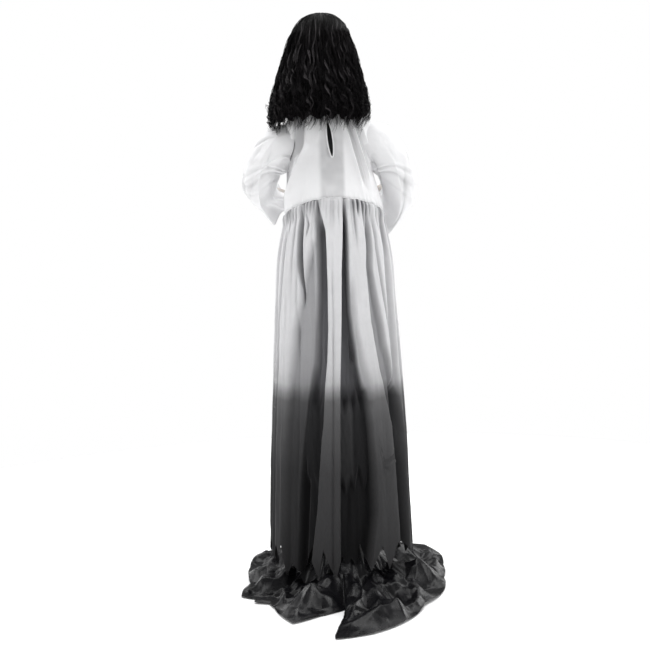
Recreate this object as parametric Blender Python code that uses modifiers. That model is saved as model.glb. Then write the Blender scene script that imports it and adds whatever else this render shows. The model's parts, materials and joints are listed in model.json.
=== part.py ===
"""Animated ghost figure on a four-legged pole stand.

The figure faces -Y and stands on z = 0, with the pole's axis on Z. Its own left is +X.
A motor at the waist turns the torso, a second one in the neck turns the head, and the arms
are raised by hand. All sizes are in metres.
"""

import math

import bmesh
import bpy
from mathutils import Matrix, Vector

# Clearances and finish of the round pieces
GAP = 0.0003
RUN_GAP = 0.0009
OVERRUN = 0.004
MERGE = 0.00001
ROUND_STEPS = 12
SMALL_STEPS = 10
HUB_STEPS = 20
HUB_ARM_STEPS = 12
TUBE_WALL = 0.0014

# Base hub, legs and foot caps
HUB_RADIUS = 0.030
HUB_HEIGHT = 0.052
HUB_FLOOR = 0.006
HUB_EDGE = 0.003
SOCKET_REACH = 0.072
SOCKET_WALL = 0.0035
LEG_RADIUS = 0.0085
LEG_START = 0.040
LEG_REACH = 0.212
FOOT_RADIUS = 0.0125
FOOT_LENGTH = 0.026
FOOT_WALL = 0.003
FOOT_FLAT = 0.001
LEG_COUNT = 4
LEG_FIRST_ANGLE = 45
KNOB_RADIUS = 0.011
KNOB_LENGTH = 0.014
KNOB_SHANK_RADIUS = 0.003

# Pole sections
POLE_RADIUS = 0.0125
POLE_LOWER_LENGTH = 0.352
POLE_MIDDLE_LENGTH = 0.345
POLE_UPPER_LENGTH = 0.335
SWAGE_LENGTH = 0.040

# Control box
BOX_WIDTH = 0.084
BOX_DEPTH = 0.038
BOX_HEIGHT = 0.132
BOX_BASE_HEIGHT = 0.430
BOX_WALL = 0.0028
BOX_EDGE = 0.004
BACK_THICKNESS = 0.003
SADDLE_WIDTH = 0.046
SADDLE_HEIGHT = 0.044
CLAMP_DEPTH = 0.020
CLAMP_SCREW_RADIUS = 0.002
CLAMP_SCREW_HEAD = 0.004
CLAMP_SCREW_SPREAD = 0.0178
CELL_RADIUS = 0.0072
CELL_LENGTH = 0.0500
CELL_TIP_RADIUS = 0.0028
CELL_TIP_LENGTH = 0.0012
CELL_COUNT = 3
CELL_SPACE = 0.0008
BAY_FLOOR_HEIGHT = 0.009
CONTACT_THICKNESS = 0.0008
DOOR_THICKNESS = 0.0022
DOOR_MARGIN = 0.0035
HINGE_RADIUS = 0.0026
HINGE_PIN_RADIUS = 0.0010
HINGE_LENGTH = 0.018
HINGE_LUG = 0.005
SPEAKER_RADIUS = 0.0170
SPEAKER_DEPTH = 0.011
SPEAKER_SHARE = 0.79
GRILLE_SLOTS = 5
GRILLE_SHARE = 0.8
GRILLE_SLOT_WIDTH = 0.0022
BUTTON_RADIUS = 0.0065
BUTTON_TRAVEL = 0.0025
BUTTON_LEFT_PROUD = 0.0015
BUTTON_FLANGE = 0.0015
SPRING_WIRE = 0.0004
SPRING_TURNS = 4
SWITCH_TRAVEL = 0.004
SWITCH_WIDTH = 0.004
SWITCH_LENGTH = 0.006
SWITCH_PROUD = 0.003
BOARD_THICKNESS = 0.0016
BOARD_MARGIN = 0.004

# Gears
PRESSURE_ANGLE = math.radians(25)
ADDENDUM_SHARE = 0.88
DEDENDUM_SHARE = 1.18
BACKLASH_SHARE = 0.14
FLANK_STEPS = 1

# Waist drive
WAIST_MODULE = 0.0015
WAIST_TEETH = 40
WAIST_KEPT_EACH_SIDE = 4
WAIST_PINION_TEETH = 12
WAIST_GEAR_THICKNESS = 0.006
WAIST_SOCKET_DEPTH = 0.032
WAIST_HOUSING_HEIGHT = 0.044
WAIST_HOUSING_WALL = 0.0045
SPINDLE_RADIUS = 0.0090
SPINDLE_HEIGHT = 0.060
WAIST_MOTOR_RADIUS = 0.0140
MOTOR_PIP_SHARE = 0.15
WAIST_MOTOR_LENGTH = 0.046
WAIST_SHAFT_RADIUS = 0.0016

# Spine, shoulder block and shoulder bar
SPINE_RADIUS = 0.0135
SPINE_LENGTH = 0.2425
SPINE_FLANGE_RADIUS = 0.022
SPINE_FLANGE_THICKNESS = 0.004
BLOCK_SOCKET_DEPTH = 0.028
BLOCK_SOCKET_WALL = 0.0055
BLOCK_WIDTH = 0.056
BLOCK_DEPTH = 0.026
BLOCK_HEIGHT = 0.030
BLOCK_EDGE = 0.002
BAR_RADIUS = 0.0080

# Neck drive
NECK_MODULE = 0.0010
NECK_TEETH = 36
NECK_KEPT_EACH_SIDE = 3
NECK_PINION_TEETH = 12
NECK_GEAR_THICKNESS = 0.005
NECK_HOUSING_HEIGHT = 0.020
NECK_HOUSING_WALL = 0.0040
NECK_POST_RADIUS = 0.0070
NECK_POST_DEPTH = 0.015
NECK_POST_REACH = 0.050
NECK_FLANGE_RADIUS = 0.0135
NECK_FLANGE_THICKNESS = 0.003
NECK_MOTOR_RADIUS = 0.0095
NECK_MOTOR_LENGTH = 0.024
# Motor leads: share of the pole's radius, then lengths in lead radii
LEAD_SHARE = 0.125
LEAD_END = 5
LEAD_STEP = 14
LEAD_BEND = 16
LEAD_TURN_SHARE = 0.7
NECK_SHAFT_RADIUS = 0.0012

# Torso shells
TORSO_BELOW_BAR = 0.2006
TORSO_HEIGHT = 0.268
TORSO_HALF_WIDTH = 0.1190
TORSO_HALF_DEPTH = 0.0700
SHELL_WALL = 0.0028
TORSO_ROW_SHARES = (
    (0.00, 0.80, 0.86),
    (0.25, 0.84, 0.92),
    (0.50, 0.93, 1.00),
    (0.70, 1.00, 1.00),
    (0.86, 1.00, 0.93),
    (0.95, 0.84, 0.80),
    (1.00, 0.52, 0.72),
)
TORSO_COLUMNS = 24
TORSO_POWER = 2.5

# Head, face and eyes
NECK_SINK = 0.017
NECK_HALF_WIDTH = 0.043
NECK_LENGTH = 0.109
HEAD_RISE = 0.076
HEAD_CENTRE_DEPTH = 0.004
HEAD_HALF_WIDTH = 0.0765
HEAD_HALF_DEPTH = 0.0950
HEAD_HALF_HEIGHT = 0.1080
# Face: forward height, how far out, width, how far up and width of each soft form, in half widths
FACE_SHARES = (
    (0.20, 0.00, 0.15, -0.42, 0.26),
    (0.07, 0.00, 0.13, -0.12, 0.25),
    (0.04, 0.00, 0.60, 0.22, 0.14),
    (-0.11, 0.41, 0.19, 0.00, 0.15),
    (0.05, 0.00, 0.24, -0.83, 0.11),
    (-0.03, 0.00, 0.30, -0.92, 0.05),
    (0.07, 0.00, 0.26, -1.20, 0.17),
    (0.03, 0.62, 0.22, -0.38, 0.26),
)
HEAD_ROWS = 14
HEAD_COLUMNS = 22
EYE_RADIUS = 0.0125
EYE_SPREAD = 0.0310
EYE_DEPTH = 0.0720

# Wig
WIG_CROWN = 0.017
WIG_LENGTH = 0.330
WIG_SHOULDER_GAP = 0.006
WIG_HALF_WIDTH = 0.150
WIG_HALF_DEPTH = 0.140
WIG_BACK_SHIFT = 0.006
WIG_INNER_WIDTH = 0.104
WIG_INNER_BACK = 0.100
WIG_CAP_GAP = 0.0012
WIG_FACE_HALF_WIDTH = 0.054
WIG_FACE_RISE = 0.067
WIG_LOCK_DEPTH = 0.0045
WIG_LOCKS = 8
WIG_COLUMNS = 32
WIG_ROW_SHARES = (
    (0.000, 0.13, 0.15),
    (0.030, 0.32, 0.38),
    (0.090, 0.49, 0.57),
    (0.190, 0.63, 0.74),
    (0.330, 0.75, 0.84),
    (0.480, 0.84, 0.92),
    (0.640, 0.92, 0.97),
    (0.830, 1.00, 1.00),
    (1.000, 0.965, 0.97),
)

# Arms
KNUCKLE_RADIUS = 0.018
KNUCKLE_THICKNESS = 0.008
PIVOT_RADIUS = 0.0040
PIVOT_FLANGE_RADIUS = 0.0155
PIVOT_FLANGE_THICKNESS = 0.003
PIVOT_PLUG_LENGTH = 0.016
PIVOT_CAP_RADIUS = 0.0085
PIVOT_CAP_LENGTH = 0.007
ARM_TUBE_RADIUS = 0.0085
ARM_SOCKET_WALL = 0.0035
ARM_SOCKET_LENGTH = 0.036
ARM_SOCKET_DEPTH = 0.022
ELBOW_OUT = 0.0735
ELBOW_DROP = 0.150
ELBOW_RADIUS = 0.0165
ELBOW_STUB_RADIUS = 0.0090
ELBOW_STUB_LENGTH = 0.034
WRIST_IN = 0.056
WRIST_FORWARD = 0.225
WRIST_RISE = 0.006
FOREARM_START = 0.020
FOREARM_RADIUS = 0.0245
FOREARM_SHARES = (
    (0.00, 0.88),
    (0.12, 0.98),
    (0.32, 1.00),
    (0.60, 0.86),
    (0.85, 0.72),
    (1.00, 0.70),
)
WRIST_PEG_RADIUS = 0.0080
WRIST_PEG_LENGTH = 0.018
HAND_LENGTH = 0.168
HAND_WIDTH = 0.078
PALM_THICKNESS = 0.025
FINGER_RADIUS = 0.0082
FINGER_SIDES = 6
# Palm: share of the hand's length, of its width and of its thickness
PALM_SHARES = (
    (0.00, 0.42, 0.70),
    (0.10, 0.50, 0.92),
    (0.28, 0.86, 1.00),
    (0.42, 0.98, 0.90),
    (0.52, 0.92, 0.66),
)
PALM_SQUARENESS = 2.4
PALM_STEPS = 12
FINGER_SPREAD_SHARE = 0.16
FINGER_ROOT_SHARE = 0.012
# Fingers: share along, share of the drop, share of the radius
FINGER_BEND_SHARES = (
    (0.00, 0.00, 1.00),
    (0.45, 0.16, 0.98),
    (0.78, 0.50, 0.88),
    (0.97, 0.88, 0.66),
    (1.00, 1.00, 0.30),
)
THUMB_RADIUS_SHARES = (1.35, 1.15, 0.98, 0.45)
# Each finger: sideways place, forward place of its root, its length, its drop (of hand sizes)
FINGER_SHARES = (
    (0.37, 0.45, 0.34, 0.115),
    (0.14, 0.48, 0.42, 0.100),
    (-0.10, 0.49, 0.45, 0.095),
    (-0.34, 0.47, 0.41, 0.110),
)
THUMB_SHARES = ((-0.22, 0.13, -0.03), (-0.55, 0.27, -0.08), (-0.66, 0.41, -0.14), (-0.69, 0.52, -0.20))

# Dress
CLOTH = 0.0026
CLOTH_GAP = 0.0008
SEAM_HALF_WIDTH = 0.143
SEAM_HALF_DEPTH = 0.106
SEAM_BELOW_TORSO = 0.021
SEAM_ARCH = 0.034
SEAM_ARCH_POWER = 1.6
SEAM_SHIFT = -0.010
SEAM_GAP = 0.0009
BODICE_COLUMNS = 40
BODICE_FOLD = 0.0035
BODICE_FOLDS = 10
ARMHOLE_BELOW_BAR = 0.0156
ARMHOLE_HALF_HEIGHT = 0.040
KEYHOLE_WIDTH = 0.017
KEYHOLE_LENGTH = 0.090
KEYHOLE_BELOW_TOP = 0.031
KEYHOLE_X = -0.008
SKIRT_COLUMNS = 80
HEM_HALF_WIDTH = 0.215
HEM_HALF_DEPTH = 0.166
HEM_POINT_HEIGHT = 0.082
HEM_NOTCH_HEIGHT = 0.160
HEM_COLUMNS_PER_POINT = 4
SKIRT_FOLD_DEPTH = 0.026
# Down the skirt: share of the drop, then where width and depth stand between seam and hem
SKIRT_ROW_SHARES = (
    (0.00, 0.00, 0.00, 0.10),
    (0.10, 0.30, 0.28, 0.45),
    (0.26, 0.49, 0.50, 0.75),
    (0.46, 0.66, 0.66, 0.90),
    (0.70, 0.84, 0.84, 1.00),
    (1.00, 1.00, 1.00, 1.00),
)
# Folds round the skirt: turn at the seam, turn at the hem, width of the valley, depth
SKIRT_VALLEY_SHARES = (
    (0.025, 0.020, 0.024, 0.70),
    (0.085, 0.080, 0.020, 0.55),
    (0.150, 0.140, 0.017, 0.80),
    (0.195, 0.190, 0.024, 0.75),
    (0.268, 0.292, 0.030, 1.00),
    (0.318, 0.350, 0.022, 0.70),
    (0.390, 0.405, 0.022, 0.55),
    (0.455, 0.460, 0.024, 0.75),
    (0.530, 0.525, 0.022, 0.65),
    (0.590, 0.585, 0.024, 0.85),
    (0.655, 0.650, 0.022, 0.70),
    (0.722, 0.720, 0.026, 0.95),
    (0.790, 0.795, 0.022, 0.70),
    (0.850, 0.855, 0.024, 0.80),
    (0.915, 0.925, 0.022, 0.65),
    (0.970, 0.972, 0.020, 0.55),
)

# Sleeves: rings along the sleeve, as shares of the reach, drop and forward length
SLEEVE_REACH = 0.118
SLEEVE_DROP = 0.145
SLEEVE_FORWARD = 0.155
SLEEVE_HEAD_HALF_HEIGHT = 0.051
SLEEVE_HEAD_HALF_DEPTH = 0.056
SLEEVE_BELOW_BAR = 0.0206
SLEEVE_COLUMNS = 16
SLEEVE_FOLD = 0.003
SLEEVE_FOLDS = 4
RIGHT_SLEEVE_DROOP = 0.034
# out, down, forward of the ring's centre, its two half sizes, and its tilt in quarter turns
# (0 faces sideways, 1 faces down, 2 faces forward)
SLEEVE_RING_SHARES = (
    (0.00, 0.00, 0.00, 1.00, 1.00, 0.0),
    (0.17, 0.08, 0.00, 0.98, 0.98, 0.30),
    (0.40, 0.27, 0.00, 0.90, 0.96, 0.70),
    (0.635, 0.58, -0.02, 0.84, 0.96, 1.05),
    (0.660, 0.86, 0.10, 0.86, 1.02, 1.50),
    (0.580, 0.98, 0.46, 0.94, 1.20, 1.95),
    (0.450, 1.10, 1.00, 1.10, 1.45, 2.0),
)

# Train on the floor
TRAIN_REACH = 0.443
TRAIN_CLOTH = 0.0026
TRAIN_COLLAR_HEIGHT = 0.340
TRAIN_STEPS_PER_SPAN = 2
# Outline, anticlockwise from +X: share of a turn, share of the reach
TRAIN_OUTLINE_SHARES = (
    (0.000, 0.605),
    (0.058, 0.675),
    (0.095, 0.600),
    (0.133, 0.615),
    (0.197, 0.800),
    (0.221, 0.640),
    (0.240, 0.535),
    (0.247, 1.000),
    (0.288, 0.940),
    (0.341, 0.790),
    (0.375, 0.700),
    (0.418, 0.690),
    (0.500, 0.665),
    (0.556, 0.735),
    (0.600, 0.860),
    (0.640, 0.965),
    (0.700, 0.880),
    (0.770, 0.830),
    (0.830, 0.890),
    (0.867, 0.870),
    (0.920, 0.720),
    (0.965, 0.640),
)
# Inner rows, shaped like a tent: share of the waist radius, share of the collar height
TRAIN_TENT_RADIUS = 0.140
TRAIN_TENT_SHARES = ((0.20, 0.88), (0.42, 0.60), (0.70, 0.34), (1.00, 0.178))
# Outer rows: share of the way out, lowest height and crest height as shares of the crest
TRAIN_CREST = 0.056
TRAIN_FLOOR_SHARES = ((0.30, 0.62, 1.00), (0.60, 0.30, 0.98), (0.85, 0.12, 0.50), (1.00, 0.048, 0.16))
TRAIN_CONES = 12
TRAIN_CONE_POWER = 0.7
TRAIN_COLLAR_CLEARANCE = 0.0006

FINISHES = {
    "steel": ((0.10, 0.10, 0.11, 1.0), 0.35, 0.85),
    "plastic": ((0.03, 0.03, 0.033, 1.0), 0.45, 0.0),
    "grey": ((0.25, 0.25, 0.26, 1.0), 0.45, 0.0),
    "rubber": ((0.02, 0.02, 0.02, 1.0), 0.8, 0.0),
    "gear": ((0.82, 0.81, 0.76, 1.0), 0.4, 0.0),
    "motor": ((0.55, 0.56, 0.58, 1.0), 0.3, 1.0),
    "board": ((0.04, 0.20, 0.09, 1.0), 0.5, 0.0),
    "red": ((0.55, 0.03, 0.03, 1.0), 0.4, 0.0),
    "cell": ((0.16, 0.17, 0.20, 1.0), 0.35, 0.4),
    "skin": ((0.72, 0.68, 0.63, 1.0), 0.55, 0.0),
    "eye": ((0.90, 0.90, 0.88, 1.0), 0.15, 0.0),
    "white_cloth": ((0.86, 0.86, 0.86, 1.0), 0.9, 0.0),
    "dyed_cloth": ((0.40, 0.40, 0.41, 1.0), 0.9, 0.0),
    "satin": ((0.015, 0.015, 0.017, 1.0), 0.4, 0.0),
    "hair": ((0.012, 0.011, 0.012, 1.0), 0.5, 0.0),
}

UP = Vector((0, 0, 1))
FRONT = Vector((0, -1, 0))


def clear_scene():
    for item in list(bpy.data.objects):
        bpy.data.objects.remove(item, do_unlink=True)


def make_collection(name):
    collection = bpy.data.collections.new(name)
    bpy.context.scene.collection.children.link(collection)
    return collection


def make_material(name, finish):
    color, roughness, metallic = FINISHES[finish]
    material = bpy.data.materials.new(name)
    material.use_nodes = True
    shader = material.node_tree.nodes["Principled BSDF"]
    shader.inputs["Base Color"].default_value = color
    shader.inputs["Roughness"].default_value = roughness
    shader.inputs["Metallic"].default_value = metallic
    return material


clear_scene()
PARTS = make_collection("Animated ghost figure")
CUTTERS = make_collection("Cutters")


def hang_on(item, pivot):
    """Parent to an empty, so that the item keeps its place in the world."""
    if pivot is not None:
        item.parent = pivot
        item.matrix_parent_inverse = Matrix.Translation(-pivot.location)


def make_pivot(name, location, parent=None):
    pivot = bpy.data.objects.new(name, None)
    pivot.location = location
    pivot.empty_display_size = HUB_RADIUS
    PARTS.objects.link(pivot)
    hang_on(pivot, parent)
    return pivot


def add_item(name, data, finish, pivot=None, location=(0, 0, 0), rotation=(0, 0, 0)):
    """Link a part, or a cutter where finish is None."""
    item = bpy.data.objects.new(name, data)
    item.location = location
    item.rotation_euler = rotation
    if finish is None:
        item.hide_render = True
        item.display_type = "WIRE"
        CUTTERS.objects.link(item)
        return item
    data.materials.append(make_material(name, finish))
    PARTS.objects.link(item)
    hang_on(item, pivot)
    return item


def turned(name, profile, finish, pivot=None, ring=False, steps=ROUND_STEPS, **placing):
    """Turn a profile of (radius, height) points about Z, listed down its outer side."""
    count = len(profile)
    edges = [(index, index + 1) for index in range(count - 1)]
    if ring:
        edges.append((count - 1, 0))
    mesh = bpy.data.meshes.new(name)
    mesh.from_pydata([(radius, 0, height) for radius, height in profile], edges, [])
    item = add_item(name, mesh, finish, pivot, **placing)
    screw = item.modifiers.new("Turn", "SCREW")
    screw.steps = steps
    screw.render_steps = steps
    screw.use_merge_vertices = True
    screw.merge_threshold = MERGE
    return item


def tube(name, outer, inner, low, high, finish, pivot=None, **options):
    profile = [(outer, high), (outer, low), (inner, low), (inner, high)]
    return turned(name, profile, finish, pivot, ring=True, **options)


def rod(name, radius, low, high, finish, pivot=None, **options):
    return turned(name, [(0, high), (radius, high), (radius, low), (0, low)], finish, pivot, **options)


def box(name, low, high, finish, pivot=None, edge=0.0, segments=2):
    """A block between two corners, with rounded edges where edge is given."""
    low, high = Vector(low), Vector(high)
    centre = (low + high) / 2
    size = high - low
    mesh = bpy.data.meshes.new(name)
    shape = bmesh.new()
    bmesh.ops.create_cube(shape, size=1)
    bmesh.ops.scale(shape, vec=size, verts=shape.verts)
    shape.to_mesh(mesh)
    shape.free()
    item = add_item(name, mesh, finish, pivot, location=centre)
    if edge:
        bevel = item.modifiers.new("Edges", "BEVEL")
        bevel.width = edge
        bevel.segments = segments
    return item


def flat_plate(name, outlines, low, high, finish, pivot=None):
    """A flat piece from closed outlines; those inside the first are holes."""
    curve = bpy.data.curves.new(name, "CURVE")
    curve.dimensions = "2D"
    curve.fill_mode = "BOTH"
    curve.extrude = (high - low) / 2
    for outline in outlines:
        spline = curve.splines.new("POLY")
        spline.points.add(len(outline) - 1)
        for point, (x, y) in zip(spline.points, outline):
            point.co = (x, y, 0, 1)
        spline.use_cyclic_u = True
    return add_item(name, curve, finish, pivot, location=(0, 0, (low + high) / 2))


def wire(name, points, radius, finish, pivot=None, resolution=2):
    """A round wire along a smooth line through the given points."""
    curve = bpy.data.curves.new(name, "CURVE")
    curve.dimensions = "3D"
    curve.bevel_depth = radius
    curve.bevel_resolution = resolution
    curve.use_fill_caps = True
    spline = curve.splines.new("POLY")
    spline.points.add(len(points) - 1)
    for place, point in zip(spline.points, points):
        place.co = (*point, 1)
    return add_item(name, curve, finish, pivot)


def smooth_line(knots, spacing):
    """Points along a Catmull-Rom curve through the knots, about one spacing apart."""
    ends = [2 * knots[0] - knots[1]] + knots + [2 * knots[-1] - knots[-2]]
    points = []
    for before, start, end, after in zip(ends, ends[1:], ends[2:], ends[3:]):
        steps = max(1, round((end - start).length / spacing))
        for step in range(steps):
            t = step / steps
            points.append(
                0.5 * (2 * start + (end - before) * t
                       + (2 * before - 5 * start + 4 * end - after) * t * t
                       + (3 * start - before - 3 * end + after) * t ** 3)
            )
    points.append(knots[-1])
    return points


def meshed(item):
    """Turn a curve object into a welded mesh object of the same name and place."""
    graph = bpy.context.evaluated_depsgraph_get()
    mesh = bpy.data.meshes.new_from_object(item.evaluated_get(graph))
    shape = bmesh.new()
    shape.from_mesh(mesh)
    bmesh.ops.remove_doubles(shape, verts=shape.verts, dist=MERGE)
    shape.to_mesh(mesh)
    shape.free()
    name = item.name
    collection = item.users_collection[0]
    solid = bpy.data.objects.new(name, mesh)
    solid.matrix_world = item.matrix_world
    solid.hide_render = item.hide_render
    solid.display_type = item.display_type
    collection.objects.link(solid)
    bpy.data.objects.remove(item, do_unlink=True)
    solid.name = name
    return solid


def combine(item, other, operation="DIFFERENCE"):
    boolean = item.modifiers.new(other.name, "BOOLEAN")
    boolean.operation = operation
    boolean.solver = "EXACT"
    boolean.object = other
    return item


def aim(direction):
    """Euler angles that turn +Z towards a direction."""
    return Vector(direction).to_track_quat("Z", "Y").to_euler()


def skin_rings(name, rings, finish, pivot=None, closed_ends=False, flip=False):
    """Join rings of equal count, listed top to bottom, each anticlockwise seen from above."""
    count = len(rings[0])
    vertices = [point for ring in rings for point in ring]
    faces = []
    for row in range(len(rings) - 1):
        for column in range(count):
            following = (column + 1) % count
            face = (
                row * count + column,
                (row + 1) * count + column,
                (row + 1) * count + following,
                row * count + following,
            )
            faces.append(face[::-1] if flip else face)
    if closed_ends:
        top = tuple(range(count))
        bottom = tuple(reversed(range((len(rings) - 1) * count, len(rings) * count)))
        faces.append(top[::-1] if flip else top)
        faces.append(bottom[::-1] if flip else bottom)
    mesh = bpy.data.meshes.new(name)
    mesh.from_pydata(vertices, [], faces)
    item = add_item(name, mesh, finish, pivot)
    if finish is not None:
        mesh.shade_smooth()
    return item


def thicken(item, wall):
    """Give an open surface its wall, on the inner side."""
    solidify = item.modifiers.new("Wall", "SOLIDIFY")
    solidify.thickness = wall
    solidify.offset = -1
    solidify.use_even_offset = True
    return item


def oval_point(angle, half_width, half_depth, power=2.0):
    """A point of a superellipse; a power of 2 is a plain ellipse."""
    c, s = math.cos(angle), math.sin(angle)
    x = math.copysign(abs(c) ** (2 / power), c) * half_width
    y = math.copysign(abs(s) ** (2 / power), s) * half_depth
    return x, y


def blend(start, end, share):
    return start + (end - start) * share


# Heights and places that follow from the sizes

LEG_HEIGHT = FOOT_RADIUS - FOOT_FLAT
POLE_BORE = POLE_RADIUS - TUBE_WALL
SWAGE_RADIUS = POLE_BORE - GAP
POLE_STARTS = [HUB_FLOOR + GAP]
POLE_STARTS.append(POLE_STARTS[0] + POLE_LOWER_LENGTH + GAP)
POLE_STARTS.append(POLE_STARTS[1] + POLE_MIDDLE_LENGTH + GAP)
POLE_TOP = POLE_STARTS[2] + POLE_UPPER_LENGTH
HOUSING_BOTTOM = POLE_TOP + GAP - WAIST_SOCKET_DEPTH
HOUSING_TOP = HOUSING_BOTTOM + WAIST_HOUSING_HEIGHT
WAIST_CENTRES = WAIST_MODULE * (WAIST_TEETH + WAIST_PINION_TEETH) / 2
WAIST_GEAR_LOW = HOUSING_TOP + GAP
WAIST_GEAR_HIGH = WAIST_GEAR_LOW + WAIST_GEAR_THICKNESS
SPINE_LOW = WAIST_GEAR_HIGH + GAP
SPINE_HIGH = SPINE_LOW + SPINE_LENGTH
BLOCK_LOW = SPINE_HIGH + GAP
BAR_HEIGHT = BLOCK_LOW + BLOCK_HEIGHT / 2
BLOCK_HIGH = BLOCK_LOW + BLOCK_HEIGHT
NECK_HOUSING_LOW = BLOCK_HIGH + GAP
NECK_HOUSING_HIGH = NECK_HOUSING_LOW + NECK_HOUSING_HEIGHT
NECK_CENTRES = NECK_MODULE * (NECK_TEETH + NECK_PINION_TEETH) / 2
NECK_GEAR_LOW = NECK_HOUSING_HIGH + GAP
NECK_GEAR_HIGH = NECK_GEAR_LOW + NECK_GEAR_THICKNESS
TORSO_BOTTOM = BAR_HEIGHT - TORSO_BELOW_BAR
TORSO_TOP = TORSO_BOTTOM + TORSO_HEIGHT
NECK_BOTTOM = TORSO_TOP - NECK_SINK
NECK_TOP = NECK_BOTTOM + NECK_LENGTH
NECK_POST_HIGH = NECK_BOTTOM + NECK_POST_REACH
HEAD_CENTRE_HEIGHT = NECK_TOP + HEAD_RISE
WIG_TOP = HEAD_CENTRE_HEIGHT + HEAD_HALF_HEIGHT + WIG_CROWN
WIG_BOTTOM = WIG_TOP - WIG_LENGTH
WIG_SIDE_BOTTOM = TORSO_TOP + WIG_SHOULDER_GAP
WIG_FACE_TOP = HEAD_CENTRE_HEIGHT + WIG_FACE_RISE
ARMHOLE_HEIGHT = BAR_HEIGHT - ARMHOLE_BELOW_BAR
SLEEVE_HEAD_HEIGHT = BAR_HEIGHT - SLEEVE_BELOW_BAR
KEYHOLE_TOP = TORSO_TOP - KEYHOLE_BELOW_TOP
KEYHOLE_BOTTOM = KEYHOLE_TOP - KEYHOLE_LENGTH
SEAM_SIDE_HEIGHT = TORSO_BOTTOM - SEAM_BELOW_TORSO
BAR_HALF_LENGTH = TORSO_HALF_WIDTH + GAP
KNUCKLE_X = BAR_HALF_LENGTH + GAP + PIVOT_FLANGE_THICKNESS + GAP
SADDLE_FACE = POLE_RADIUS + GAP + BOX_WALL
BACK_Y = SADDLE_FACE + GAP
CASE_BACK_Y = BACK_Y + BACK_THICKNESS + GAP
CASE_FRONT_Y = CASE_BACK_Y + BOX_DEPTH
BOX_TOP_HEIGHT = BOX_BASE_HEIGHT + BOX_HEIGHT
BOX_MIDDLE_HEIGHT = BOX_BASE_HEIGHT + BOX_HEIGHT / 2
CELL_PITCH = 2 * CELL_RADIUS + CELL_SPACE
BAY_HALF_WIDTH = (CELL_COUNT * CELL_PITCH + CELL_SPACE) / 2
BAY_LOW = BOX_BASE_HEIGHT + BAY_FLOOR_HEIGHT
CELL_LOW = BAY_LOW + GAP + CONTACT_THICKNESS + GAP
CELL_HIGH = CELL_LOW + CELL_LENGTH
BAY_HIGH = CELL_HIGH + CELL_TIP_LENGTH + GAP + CONTACT_THICKNESS + GAP
BAY_DEPTH = 2 * CELL_RADIUS + 2 * CELL_SPACE
SPEAKER_HEIGHT = blend(BOX_BASE_HEIGHT, BOX_TOP_HEIGHT, SPEAKER_SHARE)
SPEAKER_X = -(BOX_WIDTH / 2 - SPEAKER_RADIUS - 2 * BOX_WALL)
CONTROLS_X = BOX_WIDTH / 2 - 2 * BOX_WALL - 2 * BUTTON_RADIUS
BUTTON_HEIGHT = SPEAKER_HEIGHT + SPEAKER_RADIUS / 2
BUTTON_PROUD = BUTTON_TRAVEL + BUTTON_LEFT_PROUD
SWITCH_HEIGHT = SPEAKER_HEIGHT - SPEAKER_RADIUS / 2
ROOM_LOW = BAY_HIGH + BOX_WALL
DOOR_LOW = BAY_LOW - DOOR_MARGIN
DOOR_HIGH = BAY_HIGH + DOOR_MARGIN - GAP
HINGE_HEIGHT = DOOR_LOW - HINGE_RADIUS
HINGE_Y = CASE_FRONT_Y + GAP + HINGE_RADIUS


def make_hub():
    body = [
        (0, HUB_HEIGHT),
        (HUB_RADIUS - HUB_EDGE - HUB_EDGE, HUB_HEIGHT),
        (HUB_RADIUS - HUB_EDGE, HUB_HEIGHT - HUB_EDGE),
        (HUB_RADIUS, HUB_HEIGHT - 3 * HUB_EDGE),
        (HUB_RADIUS, -FOOT_FLAT),
        (0, -FOOT_FLAT),
    ]
    hub = turned("base_hub", body, "plastic", steps=HUB_STEPS)
    floor_cut = box(
        "floor_cutter",
        (-LEG_REACH - FOOT_LENGTH, -LEG_REACH - FOOT_LENGTH, -FOOT_RADIUS),
        (LEG_REACH + FOOT_LENGTH, LEG_REACH + FOOT_LENGTH, 0),
        None,
    )
    for index in range(LEG_COUNT):
        direction = leg_direction(index)
        place = {"location": (0, 0, LEG_HEIGHT), "rotation": aim(direction), "steps": HUB_ARM_STEPS}
        arm_radius = LEG_RADIUS + GAP + SOCKET_WALL
        arm = rod(f"hub_arm_{index}", arm_radius, POLE_RADIUS / 2 + index * GAP, SOCKET_REACH, None, **place)
        combine(hub, arm, "UNION")
        bore = rod(
            f"hub_arm_bore_{index}", LEG_RADIUS + GAP, LEG_START - GAP, SOCKET_REACH + OVERRUN,
            None, **place,
        )
        combine(hub, bore)
    pole_bore = rod(
        "hub_pole_bore", POLE_RADIUS + GAP, HUB_FLOOR, HUB_HEIGHT + OVERRUN, None, steps=HUB_STEPS,
    )
    combine(hub, pole_bore)
    knob_height = (HUB_HEIGHT + 2 * FOOT_RADIUS) / 2
    knob_bore = rod(
        "hub_knob_bore", KNOB_SHANK_RADIUS + GAP, POLE_RADIUS, HUB_RADIUS + OVERRUN, None,
        location=(0, 0, knob_height), rotation=aim(FRONT), steps=SMALL_STEPS,
    )
    combine(hub, knob_bore)
    combine(hub, floor_cut)
    shank_start = POLE_RADIUS + GAP
    head_start = HUB_RADIUS + GAP
    head_end = head_start + KNOB_LENGTH
    turned(
        "pole_knob",
        [
            (0, head_end),
            (KNOB_RADIUS - HUB_EDGE / 2, head_end),
            (KNOB_RADIUS, head_end - HUB_EDGE),
            (KNOB_RADIUS, head_start + HUB_EDGE),
            (KNOB_RADIUS / 2, head_start),
            (KNOB_SHANK_RADIUS, head_start),
            (KNOB_SHANK_RADIUS, shank_start),
            (0, shank_start),
        ],
        "plastic", location=(0, 0, knob_height), rotation=aim(FRONT), steps=SMALL_STEPS,
    )
    return floor_cut


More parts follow.
